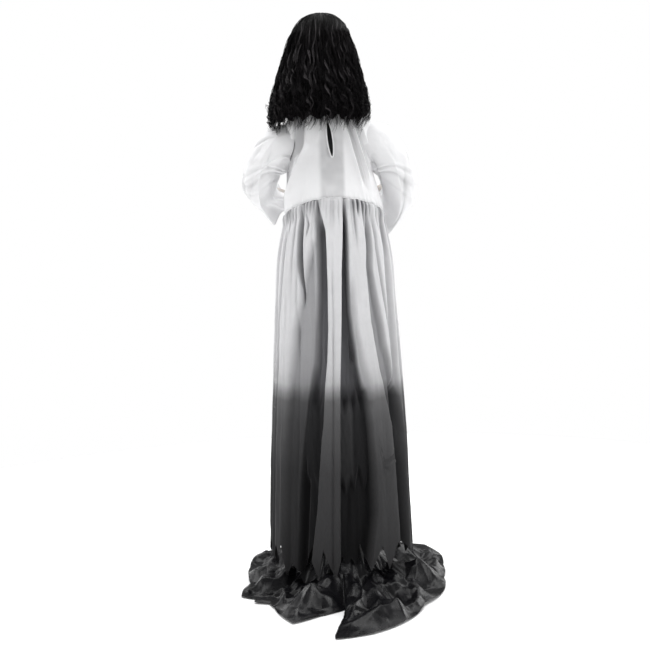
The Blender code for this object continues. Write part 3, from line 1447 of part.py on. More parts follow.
def make_arm(side, name, torso_pivot, arm_pivot):
    shoulder = Vector((side * KNUCKLE_X, 0, BAR_HEIGHT))
    out = Vector((side, 0, 0))
    flange_start = BAR_HALF_LENGTH + GAP
    flange_end = flange_start + PIVOT_FLANGE_THICKNESS
    knuckle_end = KNUCKLE_X + KNUCKLE_THICKNESS
    place = {"location": (0, 0, BAR_HEIGHT), "rotation": aim(out)}
    plug_radius = BAR_RADIUS - TUBE_WALL - GAP
    cap_low = knuckle_end + GAP
    turned(
        f"shoulder_pivot_{name}",
        [
            (0, cap_low + PIVOT_CAP_LENGTH),
            (PIVOT_CAP_RADIUS * 0.7, cap_low + PIVOT_CAP_LENGTH),
            (PIVOT_CAP_RADIUS, cap_low + PIVOT_CAP_LENGTH / 2),
            (PIVOT_CAP_RADIUS, cap_low),
            (PIVOT_RADIUS, cap_low),
            (PIVOT_RADIUS, flange_end),
            (PIVOT_FLANGE_RADIUS, flange_end),
            (PIVOT_FLANGE_RADIUS, flange_start),
            (plug_radius, flange_start),
            (plug_radius, flange_start - PIVOT_PLUG_LENGTH),
            (0, flange_start - PIVOT_PLUG_LENGTH),
        ],
        "steel", torso_pivot, **place,
    )
    elbow = shoulder + Vector((side * ELBOW_OUT, 0, -ELBOW_DROP))
    wrist = elbow + Vector((-side * WRIST_IN, -WRIST_FORWARD, WRIST_RISE))
    down_arm = (elbow - shoulder - out * KNUCKLE_THICKNESS / 2).normalized()
    arm_start = shoulder + out * KNUCKLE_THICKNESS / 2
    upper_length = (elbow - arm_start).length
    along = {"location": arm_start, "rotation": aim(down_arm), "steps": SMALL_STEPS}
    knuckle = rod(
        f"shoulder_knuckle_{name}", KNUCKLE_RADIUS, KNUCKLE_X, knuckle_end, "plastic", arm_pivot, **place,
    )
    socket_radius = ARM_TUBE_RADIUS + GAP + ARM_SOCKET_WALL
    combine(knuckle, rod(
        f"knuckle_socket_{name}", socket_radius, KNUCKLE_RADIUS * 0.75,
        KNUCKLE_RADIUS + ARM_SOCKET_LENGTH, None, **along,
    ), "UNION")
    combine(knuckle, rod(
        f"knuckle_tube_bore_{name}", ARM_TUBE_RADIUS + GAP,
        KNUCKLE_RADIUS + ARM_SOCKET_LENGTH - ARM_SOCKET_DEPTH,
        KNUCKLE_RADIUS + ARM_SOCKET_LENGTH + OVERRUN, None, **along,
    ))
    combine(knuckle, rod(
        f"knuckle_pivot_bore_{name}", PIVOT_RADIUS + GAP, KNUCKLE_X - OVERRUN, knuckle_end + OVERRUN,
        None, steps=SMALL_STEPS, **place,
    ))
    combine(knuckle, rod(
        f"knuckle_cap_room_{name}", PIVOT_CAP_RADIUS + RUN_GAP, knuckle_end,
        knuckle_end + KNUCKLE_RADIUS, None, **place,
    ))
    tube_start = KNUCKLE_RADIUS + ARM_SOCKET_LENGTH - ARM_SOCKET_DEPTH + GAP
    tube_end = upper_length - ELBOW_RADIUS / 2
    upper_arm = tube(
        f"upper_arm_{name}", ARM_TUBE_RADIUS, ARM_TUBE_RADIUS - TUBE_WALL, tube_start, tube_end, "steel",
        arm_pivot, **along,
    )
    forward = (wrist - elbow).normalized()
    reach = (wrist - elbow).length
    ahead = {"location": elbow, "rotation": aim(forward), "steps": SMALL_STEPS}
    combine(upper_arm, eyeball(f"elbow_{name}", ELBOW_RADIUS, None, None, elbow), "UNION")
    combine(upper_arm, rod(
        f"elbow_stub_{name}", ELBOW_STUB_RADIUS, 0, FOREARM_START + ELBOW_STUB_LENGTH, None, **ahead,
    ), "UNION")
    forearm_length = reach - FOREARM_START
    profile = [(0, reach)]
    for share, width in reversed(FOREARM_SHARES):
        profile.append((FOREARM_RADIUS * width, FOREARM_START + share * forearm_length))
    profile.append((0, FOREARM_START))
    forearm = turned(f"forearm_{name}", profile, "skin", arm_pivot, location=elbow, rotation=aim(forward))
    combine(forearm, rod(
        f"forearm_bore_{name}", ELBOW_STUB_RADIUS + GAP, FOREARM_START - OVERRUN,
        FOREARM_START + ELBOW_STUB_LENGTH + GAP, None, **ahead,
    ))
    combine(forearm, rod(
        f"wrist_bore_{name}", WRIST_PEG_RADIUS + GAP, reach - WRIST_PEG_LENGTH - GAP, reach + OVERRUN,
        None, **ahead,
    ))
    combine(forearm, eyeball(f"elbow_room_{name}", ELBOW_RADIUS + GAP, None, None, elbow))
    make_hand(side, name, wrist + forward * GAP, forward, arm_pivot)


def finger_rings(points, radii, sides=FINGER_SIDES):
    """Rings round a bent line, in the plane square to its run."""
    rings = []
    for index, (point, radius) in enumerate(zip(points, radii)):
        before = points[max(0, index - 1)]
        after = points[min(len(points) - 1, index + 1)]
        run = (after - before).normalized()
        across = run.cross(UP).normalized()
        rise = across.cross(run)
        rings.append([
            point + across * radius * math.cos(math.tau * side / sides)
            + rise * radius * math.sin(math.tau * side / sides)
            for side in range(sides)
        ])
    return rings


def make_hand(side, name, wrist, forward, pivot):
    """A relaxed hand, palm down, its fingers pointing forwards."""
    right = UP.cross(forward).normalized()
    lift = forward.cross(right)
    across = right * side

    def place(sideways, ahead, rise):
        return (
            wrist + forward * ahead * HAND_LENGTH + across * sideways * HAND_WIDTH
            + lift * rise * HAND_LENGTH
        )

    rings = []
    for ahead, width, thickness in PALM_SHARES:
        ring = []
        for step in range(PALM_STEPS):
            angle = math.tau * step / PALM_STEPS
            x, z = oval_point(
                angle, HAND_WIDTH / 2 * width, PALM_THICKNESS / 2 * thickness, PALM_SQUARENESS,
            )
            ring.append(
                wrist + forward * ahead * HAND_LENGTH + right * x
                + lift * (z - ahead * PALM_THICKNESS / 5)
            )
        rings.append(ring)
    hand = skin_rings(f"hand_{name}", rings, "skin", pivot, closed_ends=True, flip=True)
    peg = rod(
        f"hand_peg_{name}", WRIST_PEG_RADIUS, -WRIST_PEG_LENGTH, WRIST_PEG_LENGTH / 2, None,
        location=wrist, rotation=aim(forward), steps=SMALL_STEPS,
    )
    combine(hand, peg, "UNION")
    for index, (sideways, ahead, length, drop) in enumerate(FINGER_SHARES):
        spread = sideways * FINGER_SPREAD_SHARE
        points = [
            place(sideways + spread * along, ahead + length * along, -FINGER_ROOT_SHARE - drop * fall)
            for along, fall, thick in FINGER_BEND_SHARES
        ]
        radii = [FINGER_RADIUS * thick for along, fall, thick in FINGER_BEND_SHARES]
        finger = skin_rings(
            f"finger_{index}_{name}", finger_rings(points, radii), None, closed_ends=True, flip=True,
        )
        combine(hand, finger, "UNION")
    thumb_points = [place(*share) for share in THUMB_SHARES]
    thumb_radii = [FINGER_RADIUS * share for share in THUMB_RADIUS_SHARES]
    thumb = skin_rings(f"thumb_{name}", finger_rings(thumb_points, thumb_radii), None,
                       closed_ends=True, flip=True)
    combine(hand, thumb, "UNION")


def seam_height(angle):
    """The gathered seam arches up at the back and the front."""
    return SEAM_SIDE_HEIGHT + SEAM_ARCH * abs(math.sin(angle)) ** SEAM_ARCH_POWER


def seam_point(angle, drop=0.0):
    x, y = oval_point(angle, SEAM_HALF_WIDTH, SEAM_HALF_DEPTH)
    return Vector((x + SEAM_SHIFT, y, seam_height(angle) - drop))


def make_bodice(pivot):
    grow = CLOTH + CLOTH_GAP
    rings = [
        torso_ring(*row, grow=grow, rise=grow, columns=BODICE_COLUMNS)
        for row in reversed(TORSO_ROW_SHARES[2:])
    ]
    last = rings[-1]
    for share in (0.45, 0.8, 1.0):
        ring = []
        for column in range(BODICE_COLUMNS):
            angle = math.tau * column / BODICE_COLUMNS
            seam = seam_point(angle)
            fold = BODICE_FOLD * share * (1 + math.cos(BODICE_FOLDS * angle)) / 2
            if share == 1.0:
                fold = 0.0
            point = last[column].lerp(seam, share)
            outwards = Vector((point.x, point.y, 0)).normalized()
            ring.append(point + outwards * fold)
        rings.append(ring)
    bodice = thicken(skin_rings("bodice", rings, "white_cloth", pivot), CLOTH)
    armhole = turned(
        "armhole_cutter",
        [
            (0, 2 * TORSO_HALF_WIDTH),
            (ARMHOLE_HALF_HEIGHT, 2 * TORSO_HALF_WIDTH),
            (ARMHOLE_HALF_HEIGHT, -2 * TORSO_HALF_WIDTH),
            (0, -2 * TORSO_HALF_WIDTH),
        ],
        None, location=(0, 0, ARMHOLE_HEIGHT), rotation=aim((1, 0, 0)),
    )
    combine(bodice, armhole)
    keyhole_middle = (KEYHOLE_BOTTOM + KEYHOLE_TOP) / 2
    keyhole = rod(
        "keyhole_cutter", KEYHOLE_WIDTH / 2, 0, 2 * TORSO_HALF_DEPTH, None,
        location=(KEYHOLE_X, 0, keyhole_middle), rotation=aim(-FRONT), steps=SMALL_STEPS,
    )
    keyhole.scale = (1.0, (KEYHOLE_TOP - KEYHOLE_BOTTOM) / KEYHOLE_WIDTH, 1.0)
    combine(bodice, keyhole)


def turn_distance(one, other):
    """The shortest way between two shares of a turn."""
    gap = (one - other) % 1.0
    return min(gap, 1.0 - gap)


def skirt_fold(turn, down):
    """How deep the folds draw the skirt in at a share of a turn, at a share of the drop."""
    depth = 0.0
    for at_seam, at_hem, width, strength in SKIRT_VALLEY_SHARES:
        middle = blend(at_seam, at_hem, down)
        depth = max(depth, strength * gauss(turn_distance(turn, middle), width))
    return depth


def hem_height(column):
    """Zigzag hem, with points of unlike length."""
    phase = column % HEM_COLUMNS_PER_POINT
    index = column // HEM_COLUMNS_PER_POINT
    uneven = 0.5 + 0.5 * math.sin(2.4 * index)
    if phase == 0:
        return blend(HEM_POINT_HEIGHT, HEM_NOTCH_HEIGHT, 0.25 * uneven)
    if phase == HEM_COLUMNS_PER_POINT // 2:
        return blend(HEM_NOTCH_HEIGHT, HEM_POINT_HEIGHT, 0.30 * uneven)
    return blend(HEM_POINT_HEIGHT, HEM_NOTCH_HEIGHT, 0.5)


def make_skirt(pivot):
    rings = []
    for down, width_share, depth_share, fold_share in SKIRT_ROW_SHARES:
        ring = []
        for column in range(SKIRT_COLUMNS):
            turn = column / SKIRT_COLUMNS
            angle = math.tau * turn
            half_width = blend(SEAM_HALF_WIDTH, HEM_HALF_WIDTH, width_share)
            half_depth = blend(SEAM_HALF_DEPTH, HEM_HALF_DEPTH, depth_share)
            pull = SKIRT_FOLD_DEPTH * fold_share * skirt_fold(turn, down)
            if down == 0.0:
                pull = 0.0
            x, y = oval_point(angle, half_width - pull, half_depth - pull)
            height = blend(seam_height(angle) - SEAM_GAP, hem_height(column), down)
            ring.append(Vector((x + SEAM_SHIFT * (1 - down), y, height)))
        rings.append(ring)
    thicken(skin_rings("skirt", rings, "dyed_cloth", pivot), CLOTH)


def make_sleeve(side, name, pivot):
    start_x = TORSO_HALF_WIDTH + CLOTH + CLOTH_GAP + GAP
    droop = RIGHT_SLEEVE_DROOP if side < 0 else 0.0
    rings = []
    for out, down, ahead, half_one, half_two, tilt in SLEEVE_RING_SHARES:
        hang = droop * max(0.0, tilt - 1) ** 2
        centre = Vector((
            start_x - OVERRUN + out * (SLEEVE_REACH + OVERRUN),
            -ahead * SLEEVE_FORWARD,
            SLEEVE_HEAD_HEIGHT - down * SLEEVE_DROP - hang / 2,
        ))
        first = min(tilt, 1.0) * math.pi / 2
        second = max(0.0, tilt - 1.0) * math.pi / 2
        along_one = Vector((math.sin(first), 0, math.cos(first)))
        along_two = Vector((0, math.cos(second), -math.sin(second)))
        ring = []
        for column in range(SLEEVE_COLUMNS):
            angle = math.tau * column / SLEEVE_COLUMNS
            fold = SLEEVE_FOLD * min(tilt, 1.0) * math.cos(SLEEVE_FOLDS * angle)
            one = SLEEVE_HEAD_HALF_HEIGHT * half_one + fold
            two = (SLEEVE_HEAD_HALF_DEPTH + hang / 2) * half_two + fold
            point = centre + along_one * one * math.cos(angle) + along_two * two * math.sin(angle)
            ring.append(mirrored(point, side))
        rings.append(ring)
    sleeve = skin_rings(f"sleeve_{name}", rings, "white_cloth", pivot, flip=side < 0)
    thicken(sleeve, CLOTH)
    reach = 2 * SLEEVE_DROP
    ends = sorted((0, side * start_x))
    combine(sleeve, box(
        f"sleeve_end_cutter_{name}", (ends[0], -reach, SLEEVE_HEAD_HEIGHT - reach),
        (ends[1], reach, SLEEVE_HEAD_HEIGHT + reach), None,
    ))


def train_outline():
    """Angles and reaches round the train, with a few steps between the outline's points."""
    places = []
    count = len(TRAIN_OUTLINE_SHARES)
    for index, (turn, reach) in enumerate(TRAIN_OUTLINE_SHARES):
        next_turn, next_reach = TRAIN_OUTLINE_SHARES[(index + 1) % count]
        if index == count - 1:
            next_turn += 1.0
        for step in range(TRAIN_STEPS_PER_SPAN):
            share = step / TRAIN_STEPS_PER_SPAN
            places.append((
                math.tau * blend(turn, next_turn, share), TRAIN_REACH * blend(reach, next_reach, share),
            ))
    return places


def make_train():
    first = math.radians(LEG_FIRST_ANGLE)
    places = train_outline()
    collar = POLE_RADIUS + TRAIN_COLLAR_CLEARANCE + TRAIN_CLOTH
    rings = [[
        Vector((collar * math.cos(angle), collar * math.sin(angle), TRAIN_COLLAR_HEIGHT))
        for angle, _ in places
    ]]
    for radius_share, height_share in TRAIN_TENT_SHARES:
        ring = []
        for angle, _ in places:
            radius = blend(collar, TRAIN_TENT_RADIUS, radius_share)
            ring.append(Vector((
                radius * math.cos(angle), radius * math.sin(angle), TRAIN_COLLAR_HEIGHT * height_share,
            )))
        rings.append(ring)
    for out, low_share, high_share in TRAIN_FLOOR_SHARES:
        ring = []
        for angle, reach in places:
            crest = (0.5 + 0.5 * math.cos(TRAIN_CONES * (angle - first))) ** TRAIN_CONE_POWER
            height = TRAIN_CREST * blend(low_share, high_share, crest)
            radius = blend(TRAIN_TENT_RADIUS, reach, out)
            ring.append(Vector((radius * math.cos(angle), radius * math.sin(angle), height)))
        rings.append(ring)
    thicken(skin_rings("train", rings, "satin"), TRAIN_CLOTH)


def make_leads(torso_pivot):
    lead_radius = POLE_RADIUS * LEAD_SHARE
    clear = POLE_RADIUS + GAP + 2 * lead_radius
    top = HOUSING_TOP - WAIST_HOUSING_WALL - WAIST_MOTOR_LENGTH - WAIST_MOTOR_RADIUS * MOTOR_PIP_SHARE - GAP
    start = Vector((0, BACK_Y + BACK_THICKNESS + BOX_DEPTH / 2, BOX_TOP_HEIGHT + GAP))
    knots = [
        start,
        start + UP * BOX_WALL * 4,
        Vector((clear, clear, BOX_TOP_HEIGHT + BOX_DEPTH)),
        Vector((clear, 0, BOX_TOP_HEIGHT + 2 * BOX_DEPTH)),
        Vector((clear, 0, blend(BOX_TOP_HEIGHT, top, 0.6))),
        Vector((clear, 0, top - 2 * WAIST_MOTOR_LENGTH)),
        Vector((clear / 2, -WAIST_CENTRES * LEAD_TURN_SHARE, top - LEAD_BEND * lead_radius)),
        Vector((0, -WAIST_CENTRES, top - LEAD_END * lead_radius)),
        Vector((0, -WAIST_CENTRES, top)),
    ]
    wire("motor_lead", smooth_line(knots, LEAD_STEP * lead_radius), lead_radius, "plastic", resolution=1)
    low = NECK_HOUSING_LOW - GAP - NECK_MOTOR_LENGTH - NECK_MOTOR_RADIUS * MOTOR_PIP_SHARE - GAP
    socket_face = SPINE_RADIUS + GAP + BLOCK_SOCKET_WALL
    under = BLOCK_LOW - BLOCK_SOCKET_DEPTH
    knots = [
        Vector((0, -NECK_CENTRES, low)),
        Vector((0, -NECK_CENTRES, low - LEAD_END * lead_radius)),
        Vector((0, -socket_face - lead_radius, under)),
        Vector((0, -SPINE_RADIUS - 2 * lead_radius, under - 8 * lead_radius)),
        Vector((0, -SPINE_RADIUS - lead_radius - GAP, blend(under, SPINE_LOW, 0.4))),
        Vector((0, -SPINE_RADIUS - lead_radius - GAP, SPINE_LOW + SPINE_FLANGE_THICKNESS + GAP)),
    ]
    wire(
        "neck_lead", smooth_line(knots, LEAD_BEND * lead_radius), lead_radius, "plastic", torso_pivot,
        resolution=1,
    )


def build():
    floor_cut = make_hub()
    make_legs(floor_cut)
    make_pole()
    door_pivot = make_pivot("battery_door_axis", (0, HINGE_Y, HINGE_HEIGHT))
    button_pivot = make_pivot("try_me_axis", (CONTROLS_X, CASE_FRONT_Y, BUTTON_HEIGHT))
    switch_pivot = make_pivot("power_switch_axis", (CONTROLS_X, CASE_FRONT_Y, SWITCH_HEIGHT))
    make_control_case()
    make_saddle()
    make_battery_door(door_pivot)
    make_cells()
    make_controls(switch_pivot, button_pivot)
    waist_pinion_pivot = make_pivot("waist_pinion_axis", (0, -WAIST_CENTRES, WAIST_GEAR_LOW))
    make_waist_drive(waist_pinion_pivot)
    torso_pivot = make_pivot("torso_axis", (0, 0, WAIST_GEAR_LOW))
    make_spine(torso_pivot)
    head_pivot = make_pivot("head_axis", (0, 0, NECK_GEAR_LOW), torso_pivot)
    neck_pinion_pivot = make_pivot("neck_pinion_axis", (0, -NECK_CENTRES, NECK_GEAR_LOW), torso_pivot)
    make_neck_drive(torso_pivot, neck_pinion_pivot, head_pivot)
    make_torso_shells(torso_pivot)
    make_head(head_pivot)
    make_wig(head_pivot)
    for side, name in ((1, "left"), (-1, "right")):
        arm_pivot = make_pivot(f"arm_axis_{name}", (side * KNUCKLE_X, 0, BAR_HEIGHT), torso_pivot)
        make_arm(side, name, torso_pivot, arm_pivot)
        make_sleeve(side, name, arm_pivot)
    make_bodice(torso_pivot)
    make_skirt(torso_pivot)
    make_train()
    make_leads(torso_pivot)


build()
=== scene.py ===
"""The looks of the animated ghost figure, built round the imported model."""
import json
import math

import bmesh
import bpy
import numpy as np
from mathutils import Matrix, Vector


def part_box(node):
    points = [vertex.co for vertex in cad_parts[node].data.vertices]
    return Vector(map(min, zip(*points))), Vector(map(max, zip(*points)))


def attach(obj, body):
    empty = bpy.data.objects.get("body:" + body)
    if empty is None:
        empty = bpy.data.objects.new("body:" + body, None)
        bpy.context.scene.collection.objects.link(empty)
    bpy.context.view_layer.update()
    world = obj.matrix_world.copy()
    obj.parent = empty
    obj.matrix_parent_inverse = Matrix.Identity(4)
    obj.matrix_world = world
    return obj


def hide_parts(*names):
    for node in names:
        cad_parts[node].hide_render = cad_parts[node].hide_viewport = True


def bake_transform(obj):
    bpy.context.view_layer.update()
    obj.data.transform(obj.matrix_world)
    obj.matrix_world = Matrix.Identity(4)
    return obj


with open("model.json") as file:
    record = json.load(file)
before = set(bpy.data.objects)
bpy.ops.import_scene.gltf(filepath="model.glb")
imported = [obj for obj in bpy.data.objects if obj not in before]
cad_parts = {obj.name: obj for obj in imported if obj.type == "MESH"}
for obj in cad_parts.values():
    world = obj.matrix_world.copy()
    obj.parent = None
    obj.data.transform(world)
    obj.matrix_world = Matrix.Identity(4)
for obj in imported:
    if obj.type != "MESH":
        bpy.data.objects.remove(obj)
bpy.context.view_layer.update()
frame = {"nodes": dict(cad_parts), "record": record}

TAU = 2 * math.pi
SIDES = ((1, "left"), (-1, "right"))  # sign of x, and name

# Camera of the photograph, in metres and degrees, and its focal length in image widths
CAMERA_PLACE = (0.0273, 2.99, 1.0)
CAMERA_PITCH = 4.35
CAMERA_ROLL = -1.9
FOCAL_WIDTHS = 1020 / 650
SENSOR = 36

# Studio: light of the room, radius of the floor, and lamps with place, aim, power and size
AMBIENT = 0.26
FLOOR_RADIUS = 2.4
FLOOR_SIDES = 96
FLOOR_HEIGHT = -0.0008  # just under the lowest solid
LAMPS = (
    ("left_back", (2.5, 1.5, 1.3), (0, 0, 0.95), 32, 0.9, 2.4),
    ("right_back", (-2.5, 1.5, 1.3), (0, 0, 0.95), 40, 0.9, 2.4),
    ("left_front", (2.2, -1.8, 1.3), (0, 0, 0.95), 26, 0.9, 2.4),
    ("right_front", (-2.2, -1.8, 1.3), (0, 0, 0.95), 26, 0.9, 2.4),
    ("top", (0, -0.4, 4.2), (0, -0.4, 0), 250, 4.5, 4.5),
)

# Dress, the same sizes as the solids. In tables a turn is 1, from +x over +y, and a drop is 1 downwards.
SEAM_HALF = (0.143, 0.106)
SEAM_SIDE_HEIGHT = 1.100
SEAM_ARCH = 0.039
SEAM_ARCH_POWER = 1.6
SEAM_UNEVEN = ((0.0008, 19, 0), (0.0005, 37, 2))  # height, waves, phase
SEAM_SHIFT = -0.010
HEM_HALF = (0.215, 0.166)
FOLD_DEPTH = 0.026
# Share of the drop, of the width and of the depth
SKIRT_ROWS = np.array((
    (0, 0, 0), (10, 30, 28), (26, 49, 50), (46, 66, 66), (70, 84, 84), (100, 100, 100),
)) / 100
# Share of a turn at the seam and at the hem, width, strength
VALLEYS = np.array((
    (25, 20, 18, 700), (420, 425, 14, 600), (470, 480, 16, 750), (530, 525, 16, 650), (560, 552, 8, 450),
    (590, 585, 17, 850), (655, 650, 15, 700), (690, 694, 8, 500), (722, 720, 19, 950), (790, 795, 16, 700),
    (820, 824, 7, 450), (850, 855, 17, 800), (915, 925, 16, 650), (970, 972, 14, 550),
)) / 1000
VALLEY_POWER = 3
# Folds of the back, in ten-thousandths: depth, softness of the left and right edge, then rows of
# share of the drop, left edge and right edge. A fold ends where its edges meet.
TROUGHS = (
    (280, 30, 45, (
        (0, 1417, 1521), (700, 1370, 1526), (1800, 1429, 1578), (2350, 1500, 1560), (3000, 1545, 1545),
    )),
    (130, 16, 22, (
        (0, 1500, 1530), (400, 1600, 1645), (660, 1700, 1750), (920, 1670, 1700), (1100, 1665, 1665),
    )),
    (80, 18, 18, (
        (0, 760, 830), (300, 450, 520), (700, 100, 100),
    )),
    (360, 110, 35, (
        (0, 1840, 1960), (880, 1960, 2215), (1360, 1985, 2240), (2420, 2000, 2260), (3500, 1990, 2260),
        (4370, 1945, 2225), (5230, 1830, 2160), (6380, 1660, 2110), (7760, 1500, 1970),
        (10000, 1420, 1800),
    )),
    (210, 110, 110, (
        (1000, 1900, 1900), (3420, 1310, 2000), (4300, 1220, 1950), (5200, 1150, 1900), (6390, 1060, 1700),
        (10000, 1000, 1500),
    )),
    (45, 30, 30, (
        (1400, 2390, 2410), (2460, 2385, 2440), (3570, 2380, 2440), (5260, 2350, 2410), (6410, 2320, 2380),
        (10000, 2260, 2320),
    )),
    (400, 22, 50, (
        (0, 2770, 2850), (620, 2755, 2865), (1920, 2670, 2840), (3010, 2635, 2850), (3570, 2615, 2880),
        (4710, 2567, 3000), (5280, 2546, 3200), (6420, 2524, 3270), (7570, 2503, 3310), (8890, 2467, 3310),
        (10000, 2456, 3060),
    )),
    (140, 50, 90, (
        (1800, 2880, 2880), (3570, 2860, 3000), (4400, 2900, 3150), (5200, 3150, 3300), (6000, 3300, 3300),
    )),
    (220, 40, 70, (
        (200, 3500, 3600), (1870, 3350, 3510), (3510, 3420, 3760), (4110, 3530, 3820), (5000, 3690, 4080),
        (5580, 3760, 4320), (6490, 3890, 4480), (7910, 3960, 4430), (10000, 4000, 4350),
    )),
    (100, 30, 50, (
        (300, 3720, 3790), (1280, 3690, 3760), (2360, 3800, 3880), (4500, 4100, 4180), (6000, 4160, 4160),
    )),
    (120, 60, 60, (
        (400, 820, 820), (880, 800, 870), (3370, 550, 660), (4610, 560, 680), (10000, 500, 620),
    )),
)
TROUGH_UNIT = 10000
TROUGH_CLOSED = 0.006  # narrowest open fold, in turns
TROUGH_OVERRUN = 0.02
# Pinched creases: share of the drop and of a turn at both ends, depth
CREASES = np.array((
    (676, 334, 770, 412, 60), (684, 340, 752, 372, 45), (505, 150, 512, 110, 14), (545, 236, 548, 218, 12),
    (660, 236, 662, 222, 12), (600, 130, 590, 100, 16), (480, 55, 545, 20, 50), (545, 60, 600, 25, 40),
    (450, 30, 500, 60, 40), (800, 160, 840, 120, 25), (420, 600, 470, 640, 35), (620, 780, 700, 740, 40),
    (740, 560, 790, 620, 35), (560, 900, 640, 940, 40), (300, 480, 330, 510, 25),
)) / (1000, 1000, 1000, 1000, 10000)
CREASE_WIDTH = 0.0022
CREASE_RIDGE = (0.7, 0.0040, 0.0030)  # height share, distance from the groove, width
CREASE_FADE = (-0.02, 0.3, 0.7, 1.02)
GATHERS = 64
# Share of the drop where a gather ends, and its odds
GATHER_ENDS = np.array(((6, 26), (10, 27), (16, 24), (30, 16), (60, 5), (120, 2))) / 100
GATHER_DEPTH, GATHER_WIDTH = (0.0026, 0.0085), (0.0024, 0.0046)
FAINT_FOLDS = 46
FAINT_DEPTH, FAINT_WIDTH, FAINT_LENGTH = (-0.0028, 0.0032), (0.007, 0.016), (0.10, 0.40)
DOOR_ROOM = ((0.036, 0.026), (0.105, 0.029))  # half width and depth of folds: at rest, at every turn
DOOR_HEIGHTS = (0.37, 0.54)
DOOR_FADE = (0.02, 0.05)  # sideways and in height
DOOR_HEM = 0.12  # the hem's mean height
# Share of a turn and height of each notch and point
HEM = np.array((
    (0, 134), (140, 96), (300, 140), (580, 78), (740, 143), (880, 108), (940, 146), (1010, 56), (1160, 92),
    (1390, 66), (1733, 146), (1966, 64), (2096, 144), (2346, 58), (2490, 120), (2620, 80), (2760, 114),
    (2880, 82), (2980, 154), (3120, 76), (3410, 148), (3570, 74), (3880, 148), (4135, 100), (4270, 151),
    (4520, 90), (4780, 140), (5000, 84), (5270, 148), (5480, 72), (5770, 144), (6020, 78), (6280, 149),
    (6550, 70), (6770, 142), (7020, 82), (7300, 148), (7510, 71), (7790, 145), (8000, 76), (8290, 149),
    (8500, 78), (8780, 143), (9020, 72), (9250, 148), (9480, 80), (9740, 144), (9880, 98),
)) / (10000, 1000)
SEAM_TUCK = 0.0009  # how far the skirt's top lies under the seam
PUFF = (0.0062, 0.012, 0.018)  # height, place and width of the roll of cloth under the seam
PLEATS = (0.0052, 37, 0.006, 0.026)  # depth, number, place and reach down
PLEAT_DARK, SMALL_DARK, FOLD_DARK = 0.005, 0.008, 0.036  # depths with full shade
SOFT_HEIGHT, CRINKLE_HEIGHT = 0.0026, 0.0009
FRAY_DEPTH, FRAY_PACE = 0.0012, 420
THREAD_RADIUS = 0.00045
LONG_THREADS = ((8, 0.050), (11, 0.034), (640, 0.028))  # column of the skirt, length
FRAYS, FRAY_LENGTH = 20, (0.006, 0.016)
THREAD_FLOOR = 0.03  # lowest height of a thread
TORSO_HALF = (0.119, 0.070)
TORSO_BOTTOM = 1.115
TORSO_HEIGHT = 0.268
# Share of the height, of the width and of the depth
TORSO_ROWS = np.array((
    (25, 84, 92), (50, 93, 100), (70, 100, 100), (86, 100, 93), (95, 84, 80), (100, 52, 72),
)) / 100
TORSO_POWER = 2.5
CLOTH_OUT = 0.0036
NECK_HEIGHT = TORSO_BOTTOM + TORSO_HEIGHT + CLOTH_OUT
KEYHOLE = (-0.004, 1.304, 0.0078, 0.050, 0.10)  # x, z, half width, half height, lean
KEYHOLE_PULL = 1.5  # how far its edge is drawn, in hole sizes
BODICE_BREAK = 1.262
BODICE_SPLIT = 0.46  # share of the rows above the break
BODICE_FLARE = 1.45
BODICE_FOLD_GAIN = 1.75
BODICE_FOLD_POWER = 1.35
BODICE_EASE = 0.0046
# Back or front, x and z at the top, x and z at the bottom, width, height
BODICE_FOLDS = np.array((
    (1, -36, 1375, -90, 1150, 65, 75), (1, -48, 1375, -104, 1160, 70, -80),
    (1, -60, 1370, -112, 1175, 55, 65), (1, -70, 1366, -116, 1200, 55, -60),
    (1, -84, 1360, -122, 1220, 60, 50), (1, 50, 1375, 64, 1280, 65, 70), (1, 64, 1290, 124, 1140, 80, 75),
    (1, 76, 1372, 84, 1262, 140, -95), (1, 96, 1290, 130, 1170, 85, -70), (1, 94, 1366, 100, 1300, 60, 45),
    (1, 22, 1375, 30, 1300, 60, 22), (1, -18, 1300, -44, 1200, 60, 16), (0, -40, 1375, -80, 1160, 70, 65),
    (0, -54, 1375, -100, 1180, 70, -60), (0, 40, 1375, 76, 1160, 70, 65),
    (0, 55, 1375, 102, 1180, 75, -65), (0, 72, 1370, 116, 1200, 60, 55),
    (0, -72, 1370, -114, 1210, 60, 55), (0, 12, 1375, 20, 1240, 75, 40), (0, -14, 1375, -26, 1230, 75, 38),
)) / (1, 1000, 1000, 1000, 1000, 10000, 10000)
CRUMPLES, CRUMPLE_DEPTH, CRUMPLE_WIDTH = 40, (-0.0016, 0.0018), 0.011
WAIST_GATHERS, WAIST_DEPTH, WAIST_REACH, WAIST_WIDTH = 62, (0.0008, 0.0032), (0.006, 0.020), 0.0048
BODICE_SOFT, BODICE_CRINKLE, BODICE_LEAST = 0.0020, 0.0006, 0.0002
BODICE_FOLD_DARK = 0.0085  # depth with full shade
ARMHOLE_FROM = 0.08  # x beyond which the armholes are cut
HOLLOW = (0.0070, 0.004, 0.034, 1.205, 0.055)  # of the back: depth, x, its width, z, its height
ARMHOLE_HEIGHT, ARMHOLE_RADIUS = 1.300, 0.043
BINDING_RADIUS, NECKLINE_RADIUS, SEAM_CORD_RADIUS = 0.0019, 0.0022, 0.0008
SLEEVE_HEAD = (0.060, 0.058, 1.301)  # half height, half depth, z of its middle
SLEEVE_HEAD_SHARE, SLEEVE_OFF_BODICE = 0.97, 0.0058
SLEEVE_STEPS = (0.00, 0.16, 0.36, 0.52, 0.66, 0.82, 1.00)
